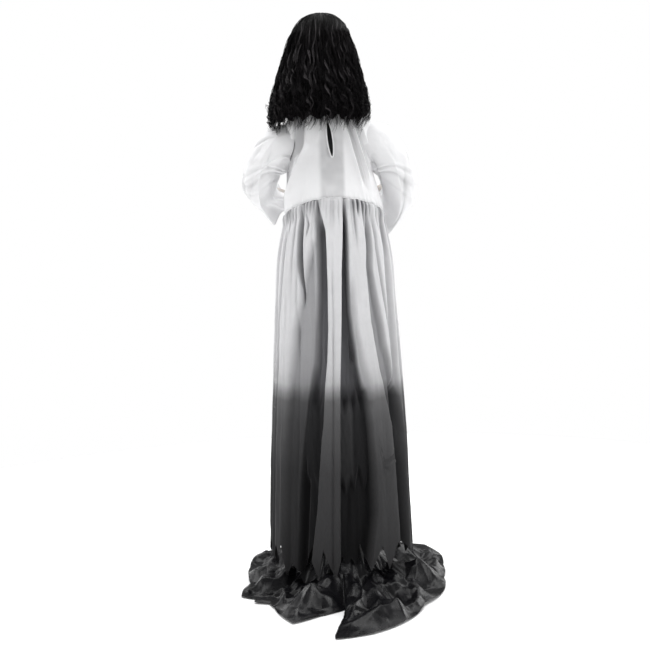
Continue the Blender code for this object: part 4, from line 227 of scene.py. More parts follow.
# Rings of both sleeves: middle x, y, z, then half size across and along the arm's bend, tilt of the ring
SLEEVE_RINGS = {
    "left": np.array((
        (118, 0, 1301, 60, 58, 150), (145, 2, 1288, 63, 57, 420), (184, 4, 1243, 58, 54, 720),
        (203, -10, 1196, 53, 56, 1200), (205, -45, 1172, 48, 50, 1620), (195, -95, 1162, 47, 48, 1920),
        (176, -158, 1149, 49, 54, 2050),
    )) / 1000,
    "right": np.array((
        (118, 0, 1301, 60, 58, 150), (145, 2, 1286, 64, 57, 420), (182, 4, 1236, 58, 56, 720),
        (201, -10, 1186, 53, 62, 1180), (204, -45, 1154, 49, 64, 1600), (196, -95, 1138, 49, 68, 1900),
        (177, -158, 1126, 51, 74, 2050),
    )) / 1000,
}
SLEEVE_POWER = 1.62
SLEEVE_FOLDS, SLEEVE_DEPTH, SLEEVE_WIDTH = 34, (-0.0075, 0.0060), (0.010, 0.026)
ELBOW_FOLDS = ((0.47, 0.0050, 0.017), (0.40, 0.0026, 0.012), (0.55, 0.0022, 0.012))  # place, depth, width
BELL_RIPPLE, BELL_KEEL = 0.0042, (0.016, 0.27, 0.060)  # the keel's height, place and width
SLEEVE_HEM_RADIUS = 0.0016
# SLEEVE_FOLD_DARK is the depth of a fold with full painted shade.
SLEEVE_CRINKLE, SLEEVE_FOLD_DARK = 0.0012, 0.009
BELL_FROM = 0.60  # share of the sleeve where it opens to a bell

# Train
COLLAR = (0.0157, 0.340)  # radius and height
TENT_RADIUS = 0.140
# Share of the way down the tent, of the collar's height
TENT_ROWS = np.array((
    (0, 1000), (200, 880), (420, 600), (700, 340), (1000, 178),
)) / 1000
TRAIN_REACH = 0.457
TRAIN_SLIT = (0.2545, 0.070, -0.0150)  # place, reach and swing of the slit's free corner, in turns
TRAIN_CREST = 0.056
# Share of the way out on the floor, of the crest's height in hollows and on crests
TRAIN_FLOOR_ROWS = np.array((
    (0, 1066, 1066), (300, 620, 1000), (600, 300, 980), (850, 120, 500), (1000, 48, 160),
)) / 1000
TRAIN_CONES = 12
TRAIN_LOWEST = 0.0022
TRAIN_FACETS = (4, 0.22, 0.030, 7)  # sizes, longest, highest, seed
LONG_FOLD, BROAD_FOLD, TENT_FOLD, EDGE_WANDER = 0.036, 0.010, 0.010, 0.010
# Share of a turn and of the reach
TRAIN_OUTLINE = np.array((
    (0, 605), (580, 690), (800, 625), (920, 665), (1120, 605), (1350, 640), (1920, 800), (2140, 650),
    (2340, 580), (2515, 530), (2545, 1000), (2880, 945), (3410, 790), (3750, 700), (4180, 690),
    (5000, 665), (5560, 735), (6000, 860), (6400, 965), (7000, 880), (7700, 830), (8300, 890), (8670, 870),
    (9200, 720), (9650, 640),
)) / (10000, 1000)

# Head and wig
HEAD_CENTRE = (0.0, 0.004, 1.551)
HEAD_HALF = (0.0765, 0.0950, 0.1080)
EYE_PLACE = (0.031, -0.068, 1.551)
EYE_RADIUS = 0.0125
WIG_TOP, WIG_BOTTOM, WIG_SIDE_BOTTOM = 1.668, 1.336, 1.376
WIG_HALF = (0.150, 0.140)
WIG_LEAN = (0.012, 0.014)  # sideways at the top, and more down to the bottom
WIG_SHIFT = 0.006
WIG_POWER = 2.15
WIG_OPEN = 0.060  # half of the gap in front of the face
CAP_INSET = 0.013
# Share of the drop, of the width and of the depth
WIG_ROWS = np.array((
    (0, 90, 110), (30, 270, 320), (90, 430, 520), (190, 560, 690), (330, 670, 790), (500, 765, 870),
    (700, 880, 950), (860, 935, 985), (1000, 925, 970),
)) / 1000


# ---------------------------------------------------------------- numbers

def hashed(cell, seed):
    """A number from -1 to 1 for each whole-number point of an (n, 3) array."""
    key = cell[..., 0] * 73856093 ^ cell[..., 1] * 19349663 ^ cell[..., 2] * 83492791
    key = key ^ (seed * 40503 + 977)
    key = (key ^ (key >> 13)) * 1274126177 & 0x7FFFFFFF
    key = (key ^ (key >> 15)) * 668265263 & 0x7FFFFFFF
    key = key ^ (key >> 16)
    return (key & 0xFFFF) / 32767.5 - 1


def smooth_noise(points, seed=0):
    """Smooth noise from about -1 to 1 at each point of an (..., 3) array."""
    cell = np.floor(points).astype(np.int64)
    part = points - cell
    fade = part * part * part * (part * (part * 6 - 15) + 10)
    total = 0.0
    for corner in range(8):
        shift = np.array([corner >> axis & 1 for axis in range(3)])
        weight = np.prod(np.where(shift, fade, 1 - fade), axis=-1)
        total = total + weight * hashed(cell + shift, seed)
    return total


def layered(points, octaves=3, seed=0):
    """Smooth noise in several sizes."""
    total, reach = 0.0, 0.0
    for step in range(octaves):
        total = total + smooth_noise(points * 2.03 ** step, seed + 31 * step) / 2 ** step
        reach += 1 / 2 ** step
    return total / reach


def creased(points, octaves=3, seed=0):
    """Noise of sharp ridges between smooth hollows, from 0 to 1, like crumpled cloth."""
    total, reach = 0.0, 0.0
    for step in range(octaves):
        ridge = 1 - np.abs(smooth_noise(points * 1.9 ** step, seed + 17 * step))
        total = total + ridge ** 2 / 1.8 ** step
        reach += 1 / 1.8 ** step
    return total / reach


def line_through(x, xs, ys):
    """A smooth line through a table's points."""
    xs, ys = np.asarray(xs, float), np.asarray(ys, float)
    slope = np.gradient(ys, xs)
    i = np.clip(np.searchsorted(xs, x, side="right") - 1, 0, len(xs) - 2)
    width = xs[i + 1] - xs[i]
    t = np.clip((x - xs[i]) / width, 0, 1)
    return (
        (1 + 2 * t) * (1 - t) ** 2 * ys[i] + t * (1 - t) ** 2 * width * slope[i]
        + t * t * (3 - 2 * t) * ys[i + 1] + t * t * (t - 1) * width * slope[i + 1]
    )


def step_up(x, low, high):
    t = np.clip((x - low) / (high - low), 0, 1)
    return t * t * (3 - 2 * t)


def bump_of(x, width):
    return np.exp(-(x / width) ** 2)


def turn_gap(one, other):
    """The signed shortest way from one share of a turn to another."""
    return (one - other + 0.5) % 1.0 - 0.5


def oval(angle, half_x, half_y, power=2.0):
    c, s = np.cos(angle), np.sin(angle)
    return (
        np.sign(c) * np.abs(c) ** (2 / power) * half_x,
        np.sign(s) * np.abs(s) ** (2 / power) * half_y,
    )


def stack(*parts):
    return np.stack(np.broadcast_arrays(*parts), axis=-1)


def ridge(gap, width, power):
    """A bump from 1 down to 0, pointed for a low power and flat on top for a high one."""
    return np.exp(-(np.abs(gap) / width) ** power)


def between(x, low, full, ends, gone):
    """Rises from low to full and falls from ends to gone."""
    return step_up(x, low, full) * (1 - step_up(x, ends, gone))


def shares(table, x):
    """Smooth lines through a table's other columns, at places x of its first one."""
    return [line_through(x, table[:, 0], column) for column in table.T[1:]]


def round_table(turn, table):
    """A value for each share of a turn, from a table that closes on itself."""
    return np.interp(turn, np.append(table[:, 0], 1.0), np.append(table[:, 1], table[0, 1]))


def turns(columns):
    """Shares of a turn in one row, and their angles."""
    turn = (np.arange(columns) / columns)[None, :]
    return turn, TAU * turn


# ---------------------------------------------------------------- materials

class Finish:
    """A Principled material with short calls for its nodes."""

    def __init__(self, name, **sockets):
        self.material = bpy.data.materials.new(name)
        self.material.use_nodes = True
        self.tree = self.material.node_tree
        self.shader = self.tree.nodes["Principled BSDF"]
        for key, value in sockets.items():
            key = key.replace("_", " ").title().replace("Ior", "IOR")
            if key == "Base Color" or key == "Sheen Tint":
                value = (*value, 1.0)
            self.shader.inputs[key].default_value = value
        self.place = self.node("TexCoord").outputs["Object"]

    def node(self, kind, links=None, **settings):
        made = self.tree.nodes.new("ShaderNode" + kind)
        for key, value in settings.items():
            setattr(made, key, value)
        for key, value in (links or {}).items():
            if isinstance(value, bpy.types.NodeSocket):
                self.tree.links.new(value, made.inputs[key])
            else:
                made.inputs[key].default_value = value
        return made

    def stretched(self, scale, source=None):
        return self.node("Mapping", {"Vector": source or self.place, "Scale": scale}).outputs[0]

    def noise(self, scale, detail=3.0, roughness=0.5, vector=None, distortion=0.0):
        return self.node("TexNoise", {
            "Vector": vector or self.place, "Scale": scale, "Detail": detail, "Roughness": roughness,
            "Distortion": distortion,
        }).outputs["Fac"]

    def wave(self, scale, vector, distortion, direction):
        return self.node("TexWave", {
            "Vector": vector, "Scale": scale, "Distortion": distortion, "Detail": 2.0,
        }, bands_direction=direction).outputs["Fac"]

    def math(self, operation, one, two=0.5):
        return self.node("Math", {0: one, 1: two}, operation=operation).outputs[0]

    def times(self, one, two):
        return self.math("MULTIPLY", one, two)

    def ramp(self, value, stops):
        made = self.node("ValToRGB", {"Fac": value})
        elements = made.color_ramp.elements
        while len(elements) < len(stops):
            elements.new(0.5)
        for element, (position, color) in zip(elements, stops):
            element.position = position
            element.color = (*color, 1.0) if hasattr(color, "__len__") else (color, color, color, 1.0)
        return made.outputs["Color"]

    def mix(self, factor, one, two, blend="MIX"):
        made = self.node("Mix", data_type="RGBA", blend_type=blend)
        for socket, value in ((made.inputs[0], factor), (made.inputs[6], one), (made.inputs[7], two)):
            if isinstance(value, bpy.types.NodeSocket):
                self.tree.links.new(value, socket)
            else:
                socket.default_value = (*value, 1.0) if hasattr(value, "__len__") else value
        return made.outputs[2]

    def attribute(self, name):
        return self.node("Attribute", attribute_name=name).outputs["Fac"]

    def bump(self, height, strength, distance, normal=None):
        links = {"Height": height, "Strength": strength, "Distance": distance}
        if normal is not None:
            links["Normal"] = normal
        return self.node("Bump", links).outputs[0]

    def set(self, **sockets):
        for key, value in sockets.items():
            self.tree.links.new(value, self.shader.inputs[key.replace("_", " ").title()])
        return self


def cloth_finish(name, color, dyed=False):
    """Thin woven polyester: a fine weave, soft unevenness, the dip dye on the skirt, and painted shade in the
    folds.
    """
    sheen, shine = (0.07, 0.10) if dyed else (0.22, 0.22)
    made = Finish(name, roughness=0.86, sheen_weight=sheen, sheen_roughness=0.45, specular_ior_level=shine)
    threads = made.node("UVMap", uv_map="cloth").outputs[0]
    warp = made.wave(900.0, threads, 1.2, "X")
    weft = made.wave(820.0, threads, 1.2, "Y")
    weave = made.times(warp, weft)
    slub = made.noise(1.0, 2.0, 0.6, made.stretched((260, 38, 1), threads))
    cloudy = made.noise(9.0, 4.0, 0.6)
    pale = made.mix(made.times(cloudy, 0.5), color, tuple(c * 0.93 for c in color))
    pale = made.mix(made.times(slub, 0.10), pale, tuple(c * 0.72 for c in color))
    if not dyed:
        # Dark grey where the black torso shows through the bodice's middle, and painted shade in fold valleys,
        # at the armpit and above the waist seam.
        lining_and_painted_shade = made.times(made.attribute("lining_and_painted_shade"), 0.52)
        pale = made.mix(lining_and_painted_shade, pale, (0.20, 0.20, 0.21))
    if dyed:
        height = made.node("SeparateXYZ", {0: made.place}).outputs[2]
        wander = made.times(made.math("SUBTRACT", made.noise(7.0, 4.0, 0.65), 0.5), 0.020)
        streaks = made.noise(1.0, 3.0, 0.6, made.stretched((34, 34, 2.2)))
        wander = made.math("ADD", wander, made.times(made.math("SUBTRACT", streaks, 0.5), 0.028))
        level = made.math("ADD", height, wander)
        share = made.math("DIVIDE", level, 1.2)
        dye = made.ramp(share, (
            (0.070, 0.028), (0.300, 0.047), (0.420, 0.100), (0.472, 0.150), (0.492, 0.310),
            (0.514, 0.60), (0.550, 0.74), (0.610, 0.83), (0.700, 0.90), (0.900, 0.97),
        ))
        grime = made.noise(24.0, 5.0, 0.7)
        dye = made.mix(made.times(grime, 0.16), dye, (0.02, 0.02, 0.022))
        fibres = made.noise(1.0, 2.0, 0.7, made.stretched((700, 90, 1), threads))
        dye = made.mix(made.times(fibres, 0.10), dye, (0.22, 0.21, 0.22))
        pale = made.mix(1.0, pale, dye, "MULTIPLY")
        # Painted shade: the fold attribute darkens the cloth in deep folds, pleats and gathers.
        deep = made.attribute("fold")
        painted_fold_shade = made.mix(1.0, pale, (0.14, 0.14, 0.15), "MULTIPLY")
        pale = made.mix(made.times(deep, 0.92), pale, painted_fold_shade)
    folds = made.noise(30.0, 5.0, 0.55)
    low = made.bump(folds, 0.25, 0.004)
    fine = made.bump(weave, 0.30, 0.0002, low)
    return made.set(base_color=pale, normal=fine)


white_cloth = cloth_finish("white_polyester", (0.84, 0.84, 0.85))
dyed_cloth = cloth_finish("dip_dyed_polyester", (0.80, 0.80, 0.815), dyed=True)


def satin_finish():
    made = Finish(
        "black_satin", base_color=(0.006, 0.006, 0.0075), roughness=0.30, specular_ior_level=0.24,
    )
    threads = made.node("UVMap", uv_map="cloth").outputs[0]
    twill = made.wave(700.0, threads, 0.8, "DIAGONAL")
    cloudy = made.noise(14.0, 4.0, 0.6)
    tint = made.ramp(cloudy, ((0.30, (0.0022, 0.0022, 0.0028)), (0.70, (0.0062, 0.0060, 0.0072))))
    worn = made.ramp(made.noise(60.0, 4.0, 0.7), ((0.35, 0.24), (0.75, 0.40)))
    warped = made.node("TexNoise", {"Vector": made.place, "Scale": 9.0, "Detail": 2.0}).outputs["Color"]
    warped = made.mix(0.12, made.place, warped)
    cells = made.node("TexVoronoi", {"Vector": warped, "Scale": 8.0}, feature="DISTANCE_TO_EDGE")
    creases = made.math("MINIMUM", made.times(cells.outputs["Distance"], 5.0), 1.0)
    low = made.bump(creases, 0.20, 0.004)
    fine = made.bump(twill, 0.25, 0.00015, low)
    return made.set(base_color=tint, roughness=worn, normal=fine)


def hair_finish(name, dark, light, shine):
    made = Finish(name, roughness=0.42, specular_ior_level=shine)
    strand = made.attribute("strand")
    tint = made.mix(strand, dark, light)
    along = made.noise(60.0, 2.0, 0.5)
    tint = made.mix(made.times(along, 0.35), tint, dark)
    # Painted shade: the hair is darker at the crown.
    height = made.node("SeparateXYZ", {0: made.place}).outputs[2]
    crown = made.ramp(made.times(height, 0.5), ((0.800, 0.0), (0.822, 0.85)))
    tint = made.mix(crown, tint, tuple(0.3 * c for c in dark))
    gloss = made.ramp(strand, ((0.0, 0.36), (1.0, 0.52)))
    return made.set(base_color=tint, roughness=gloss)


def skin_finish():
    made = Finish(
        "pale_vinyl", roughness=0.52, specular_ior_level=0.40, subsurface_weight=0.10,
        subsurface_scale=0.004,
    )
    blotch = made.noise(26.0, 4.0, 0.6)
    tint = made.ramp(blotch, ((0.30, (0.44, 0.41, 0.385)), (0.70, (0.56, 0.53, 0.50))))
    tint = made.mix(made.attribute("shade"), tint, (0.23, 0.17, 0.17))
    tint = made.mix(made.attribute("lips"), tint, (0.30, 0.16, 0.155))
    pores = made.noise(900.0, 2.0, 0.6)
    soft = made.noise(120.0, 3.0, 0.5)
    low = made.bump(soft, 0.18, 0.001)
    fine = made.bump(pores, 0.20, 0.00012, low)
    gloss = made.ramp(blotch, ((0.3, 0.46), (0.7, 0.60)))
    return made.set(base_color=tint, roughness=gloss, normal=fine)


def plastic_finish(name, color, roughness=0.5, grain=1400.0, depth=0.00006):
    """Moulded plastic with a spark-eroded grain and a little wear."""
    made = Finish(name, roughness=roughness, specular_ior_level=0.45)
    dust = made.noise(38.0, 4.0, 0.65)
    lighter = tuple(min(1.0, c * 1.5 + 0.012) for c in color)
    tint = made.mix(made.times(dust, 0.35), color, lighter)
    gloss = made.ramp(dust, ((0.3, max(0.05, roughness - 0.08)), (0.7, min(1.0, roughness + 0.10))))
    rough = made.bump(made.noise(grain, 2.0, 0.6), 0.35, depth)
    return made.set(base_color=tint, roughness=gloss, normal=rough)


def metal_finish(name, color, roughness=0.35, brushed=True, painted=False):
    made = Finish(name, metallic=0.0 if painted else 1.0, roughness=roughness, specular_ior_level=0.5)
    grain = made.noise(1.0, 3.0, 0.6, made.stretched((60, 60, 1400) if brushed else (500, 500, 500)))
    smudge = made.noise(30.0, 4.0, 0.6)
    tint = made.mix(made.times(smudge, 0.4), color, tuple(c * 0.7 for c in color))
    gloss = made.ramp(smudge, ((0.3, max(0.05, roughness - 0.08)), (0.7, roughness + 0.12)))
    return made.set(base_color=tint, roughness=gloss, normal=made.bump(grain, 0.25, 0.00008))


black_satin = satin_finish()
hair_dark = hair_finish("black_hair", (0.0026, 0.0023, 0.0026), (0.0200, 0.0180, 0.0195), 0.05)
# A lighter copy of the hair: painted highlight for the streaks.
hair_painted_highlight = hair_finish("painted_highlight_hair", (0.018, 0.0165, 0.0175), (0.085, 0.078, 0.082), 0.12)
pale_skin = skin_finish()


# ---------------------------------------------------------------- meshes

def mesh_piece(name, points, faces, finish, uv=None, values=None):
    """A mesh object from arrays of points and of faces that all have the same number of corners."""
    points = np.asarray(points, np.float32).reshape(-1, 3)
    faces = np.asarray(faces, np.int32)
    mesh = bpy.data.meshes.new(name)
    mesh.vertices.add(len(points))
    mesh.vertices.foreach_set("co", points.ravel())
    mesh.loops.add(faces.size)
    mesh.loops.foreach_set("vertex_index", faces.ravel())
    mesh.polygons.add(len(faces))
    mesh.polygons.foreach_set("loop_start", np.arange(0, faces.size, faces.shape[1], dtype=np.int32))
    mesh.update(calc_edges=True)
    mesh.validate()
    mesh.shade_smooth()
    if uv is not None:
        layer = mesh.uv_layers.new(name="cloth")
        layer.data.foreach_set("uv", np.asarray(uv, np.float32).ravel())
    for key, value in (values or {}).items():
        made = mesh.attributes.new(key, "FLOAT", "POINT")
        made.data.foreach_set("value", np.asarray(value, np.float32).ravel())
    mesh.materials.append(finish.material)
    item = bpy.data.objects.new(name, mesh)
    bpy.context.scene.collection.objects.link(item)
    return item


def grid_faces(rows, columns, wrap, flip=False):
    across = columns if wrap else columns - 1
    row, column = np.meshgrid(np.arange(rows - 1), np.arange(across), indexing="ij")
    after = (column + 1) % columns
    a, b = row * columns + column, row * columns + after
    c, d = (row + 1) * columns + after, (row + 1) * columns + column
    order = (a, d, c, b) if flip else (a, b, c, d)
    return np.stack(order, axis=-1).reshape(-1, 4), (row.ravel(), column.ravel())


def cloth_piece(
    name, points, finish, body, size, wrap=True, flip=False, keep=None, values=None,
):
    """A sheet from a (rows, columns, 3) array, with a cloth map in metres."""
    rows, columns = points.shape[:2]
    faces, (row, column) = grid_faces(rows, columns, wrap, flip)
    across = columns if wrap else columns - 1
    u, v = column / across * size[0], row / (rows - 1) * size[1]
    du, dv = size[0] / across, size[1] / (rows - 1)
    corners = ((0, 0), (0, 1), (1, 1), (1, 0)) if flip else ((0, 0), (1, 0), (1, 1), (0, 1))
    uv = np.stack([np.stack((u + i * du, v + j * dv), axis=-1) for i, j in corners], axis=1)
    if keep is not None:
        inside = keep.ravel()[faces].all(axis=1)
        faces, uv = faces[inside], uv[inside]
    item = mesh_piece(name, points, faces, finish, uv, values)
    if keep is not None:
        drop_loose(item)
    if body:
        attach(item, body)
    return item


def drop_loose(item):
    """Takes out points that no face uses."""
    shape = bmesh.new()
    shape.from_mesh(item.data)
    bmesh.ops.delete(shape, geom=[v for v in shape.verts if not v.link_faces], context="VERTS")
    shape.to_mesh(item.data)
    shape.free()


TUBE_UP = np.array([0.31, 0.23, 0.92])  # along no cord, so each ring gets its sides from it


def tubes(name, lines, radii, finish, body, sides=3, values=None):
    """Many thin tubes in one mesh, from (count, steps, 3) points and (count, steps) radii."""
    count, steps = lines.shape[:2]
    run = np.gradient(lines, axis=1)
    run /= np.linalg.norm(run, axis=-1, keepdims=True) + 1e-12
    across = np.cross(run, TUBE_UP)
    across /= np.linalg.norm(across, axis=-1, keepdims=True) + 1e-12
    rise = np.cross(across, run)
    angle = TAU * np.arange(sides) / sides
    ring = (
        across[:, :, None] * np.cos(angle)[:, None] + rise[:, :, None] * np.sin(angle)[:, None]
    ) * np.broadcast_to(radii, lines.shape[:2])[..., None, None]
    points = (lines[:, :, None] + ring).reshape(-1, 3)
    line, step, side = np.meshgrid(*(np.arange(n) for n in (count, steps - 1, sides)), indexing="ij")
    after = (side + 1) % sides
    base = (line * steps + step) * sides
    faces = stack(base + side, base + after, base + sides + after, base + sides + side).reshape(-1, 4)
    spread = {key: np.repeat(value, steps * sides) for key, value in (values or {}).items()}
    item = mesh_piece(name, points, faces, finish, values=spread)
    if body:
        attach(item, body)
    return item


# ---------------------------------------------------------------- skirt

def seam_height(angle):
    uneven = sum(height * np.sin(waves * angle + phase) for height, waves, phase in SEAM_UNEVEN)
    return SEAM_SIDE_HEIGHT + SEAM_ARCH * np.abs(np.sin(angle)) ** SEAM_ARCH_POWER + uneven


def fold_depths(turn, down):
    """How deep the folds draw the skirt in."""
    depth = np.zeros(np.broadcast(turn, down).shape)
    for at_seam, at_hem, width, strength in VALLEYS:
        gap = turn_gap(turn, at_seam + (at_hem - at_seam) * down)
        depth = np.maximum(depth, FOLD_DEPTH * strength * ridge(gap, width, VALLEY_POWER))
    for deep, soft_left, soft_right, rows in TROUGHS:
        deep, soft_left, soft_right = deep / TROUGH_UNIT, soft_left / TROUGH_UNIT, soft_right / TROUGH_UNIT
        share, left, right = np.array(rows).T / TROUGH_UNIT
        reached = (down >= share[0] - TROUGH_OVERRUN) * (down <= share[-1] + TROUGH_OVERRUN)
        left, right = np.interp(down, share, left), np.interp(down, share, right)
        inside = between(turn, left - soft_left, left + soft_left, right - soft_right, right + soft_right)
        depth = depth + deep * inside * (step_up(right - left, 0.0, TROUGH_CLOSED) * reached)
    return depth


def crease_shift(turn, down):
    """Pinched creases: a sharp groove beside a low ridge."""
    shift = np.zeros(np.broadcast(turn, down).shape)
    high, distance, width = CREASE_RIDGE
    for down_a, turn_a, down_b, turn_b, deep in CREASES:
        run = np.array([down_b - down_a, turn_b - turn_a])
        away_down, away_turn = down - down_a, turn_gap(turn, turn_a)
        length = math.hypot(*run)
        along = (away_down * run[0] + away_turn * run[1]) / length ** 2
        across = (away_down * -run[1] + away_turn * run[0]) / length
        profile = high * bump_of(across + distance, width) - bump_of(across, CREASE_WIDTH)
        shift += deep * between(along, *CREASE_FADE) * profile
    return shift


def small_folds(turn, down):
    """How deep the gathers under the seam and the faint folds of the whole skirt lie."""
    rng = np.random.default_rng(11)
    total = np.zeros(np.broadcast(turn, down).shape)
    for index in range(GATHERS):
        middle = (index + rng.uniform(-0.35, 0.35)) / GATHERS
        drift, width = rng.normal(0, 0.006), rng.uniform(*GATHER_WIDTH)
        depth, end = rng.uniform(*GATHER_DEPTH), rng.choice(GATHER_ENDS[:, 0], p=GATHER_ENDS[:, 1])
        gap = turn_gap(turn, middle + drift * down + 0.002 * np.sin(9 * down + index))
        fade = between(down, -0.004, 0.010, end * 0.35, end)
        total += depth * fade * ridge(gap, width * (1 + 1.2 * down), 1.5)
    for _ in range(FAINT_FOLDS):
        middle, begin = rng.uniform(0, 1), rng.uniform(0.05, 0.85)
        length, width, lean = rng.uniform(*FAINT_LENGTH), rng.uniform(*FAINT_WIDTH), rng.normal(0, 0.07)
        gap = turn_gap(turn, middle + lean * (down - begin))
        fade = bump_of(down - begin - length / 2, length / 2)
        total += rng.uniform(*FAINT_DEPTH) * fade * ridge(gap, width, 1.6)
    return total


def loose_threads(points, steps=26):
    """Frayed threads that hang from the cut hem."""
    rng = np.random.default_rng(17)
    places, lengths = zip(*LONG_THREADS)
    spots = np.concatenate((places, rng.choice(points.shape[1], FRAYS, replace=False)))
    t = np.linspace(0, 1, steps)[None, :]
    start = points[-2, spots][:, None]
    length = rng.uniform(*FRAY_LENGTH, len(spots))[:, None]
    length[:len(lengths)] = np.array(lengths)[:, None]
    out = start * (1, 1, 0) / np.linalg.norm(start * (1, 1, 0), axis=-1, keepdims=True)
    phase = rng.uniform(0, TAU, len(spots))[:, None]
    lines = start + out * (length * 0.75 * t ** 1.4 + 0.002 * np.sin(9 * t + phase))[..., None]
    lines = lines + stack(0, 0, -length * t * (0.9 - 0.5 * t))
    lines[..., 2] += 0.0025 * np.sin(13 * t + phase) * t
    lines[..., 2] = np.maximum(lines[..., 2], THREAD_FLOOR)
    tubes(
        "loose_threads", lines, THREAD_RADIUS, hair_dark, "torso",
        values={"strand": np.full(len(spots), 0.6)},
    )


def make_skirt(columns=650, rows=150):
    turn, angle = turns(columns)
    down = (np.linspace(0, 1, rows) ** 1.10)[:, None]
    half_x, half_y = (
        seam + (hem - seam) * share
        for seam, hem, share in zip(SEAM_HALF, HEM_HALF, shares(SKIRT_ROWS, down))
    )
    x_flat = np.cos(angle) * half_x
    low_z = seam_height(angle) + (DOOR_HEM - seam_height(angle)) * down
    low, high = DOOR_HEIGHTS
    level = (np.sin(angle) > 0) * between(low_z, low - DOOR_FADE[1], low, high, high + DOOR_FADE[1])
    pull = fold_depths(turn, down) * (0.12 + 0.88 * step_up(down, 0.0, 0.10))
    for half, limit in DOOR_ROOM:
        dark = pull
        by_door = level * (1 - step_up(np.abs(x_flat), half, half + DOOR_FADE[0]))
        pull = pull * (1 - by_door) + np.minimum(pull, limit) * by_door
    minor = small_folds(turn, down)
    high, place, wide = PUFF
    puff = high * bump_of(down - place, wide)
    deep, number, place, wide = PLEATS
    pleats = deep * np.abs(np.sin(TAU * number * turn + 2.1 * np.sin(TAU * 5 * turn)))
    pleats = pleats * bump_of(down - place, wide)
    pleats = pleats * (0.55 + 0.45 * np.sin(TAU * 11 * turn + 3 * np.sin(TAU * 2 * turn)))
    x, y = oval(angle, half_x - pull, half_y - pull)
    around = stack(np.cos(angle) * 3.2, np.sin(angle) * 3.2, down * 5.0)
    soft = SOFT_HEIGHT * layered(around * (2.2, 2.2, 1.0), 3, 5) * step_up(down, 0.02, 0.2)
    crinkle = CRINKLE_HEIGHT * layered(around * (7, 7, 5), 3, 9) * step_up(down, 0.01, 0.1)
    shift = step_up(down, 0.0, 0.004) * (puff - pleats - minor + soft + crinkle)
    shift = shift + crease_shift(turn, down)
    fray = FRAY_DEPTH * smooth_noise(stack(turn[0] * FRAY_PACE, 0, 0), 3)
    hem = round_table(turn[0], HEM) + fray
    top = seam_height(angle) - SEAM_TUCK
    points = stack(
        x + SEAM_SHIFT * (1 - down) + np.cos(angle) * shift, y + np.sin(angle) * shift,
        top + (hem[None, :] - top) * down,
    )
    # Painted shade for the cloth: full in the deepest folds, weaker in the pleats and gathers under the seam.
    fold = dark / FOLD_DARK + 0.75 * np.clip(pleats, 0, PLEAT_DARK) / PLEAT_DARK * (down < 0.12)
    fold = fold + 0.5 * np.clip(minor, 0, SMALL_DARK) / SMALL_DARK * (1 - step_up(down, 0.3, 0.6))
    skirt = cloth_piece(
        "dress_skirt", points, dyed_cloth, "torso", values={"fold": np.clip(fold, 0, 1)},
        size=(1.42, 1.03),
    )
    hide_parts("skirt")
    loose_threads(points)


# ---------------------------------------------------------------- bodice

def bodice_half(height):
    """Half width and half depth of the bodice at a height above the seam."""
    share, wide, deep = TORSO_ROWS.T
    level = TORSO_BOTTOM + share * TORSO_HEIGHT + CLOTH_OUT
    return (
        line_through(height, level, TORSO_HALF[0] * wide + CLOTH_OUT),
        line_through(height, level, TORSO_HALF[1] * deep + CLOTH_OUT),
    )


def bodice_folds(turn, across, z, back):
    """How far the folds of back and front stand out."""
    folds = np.zeros(z.shape)
    for shown, x_top, z_top, x_low, z_low, width, depth in BODICE_FOLDS:
        share = (z_top - z) / (z_top - z_low)
        gap = across - (x_top + (x_low - x_top) * share)
        fade = between(share, -0.12, 0.10, 0.72, 1.08) * (back if shown else ~back)
        folds += BODICE_FOLD_GAIN * depth * fade * ridge(gap, width, BODICE_FOLD_POWER)
    rng = np.random.default_rng(23)
    for _ in range(CRUMPLES):
        start, _ = rng.uniform(0.0, 1.0), rng.choice((-1, 1))
        z_mid, reach, slant = rng.uniform(1.13, 1.36), rng.uniform(0.02, 0.06), rng.normal(0, 0.25)
        gap = turn_gap(turn, start + slant * (z - z_mid))
        folds += rng.uniform(*CRUMPLE_DEPTH) * bump_of(z - z_mid, reach) * ridge(gap, CRUMPLE_WIDTH, 1.6)
    waist = np.zeros(z.shape)
    for index in range(WAIST_GATHERS):
        gap = turn_gap(turn, (index + rng.uniform(-0.4, 0.4)) / WAIST_GATHERS)
        reach = rng.uniform(*WAIST_REACH)
        rise = bump_of(z - seam_height(TAU * turn), reach)
        waist += rng.uniform(*WAIST_DEPTH) * rise * ridge(gap, WAIST_WIDTH, 1.6)
    return folds, waist


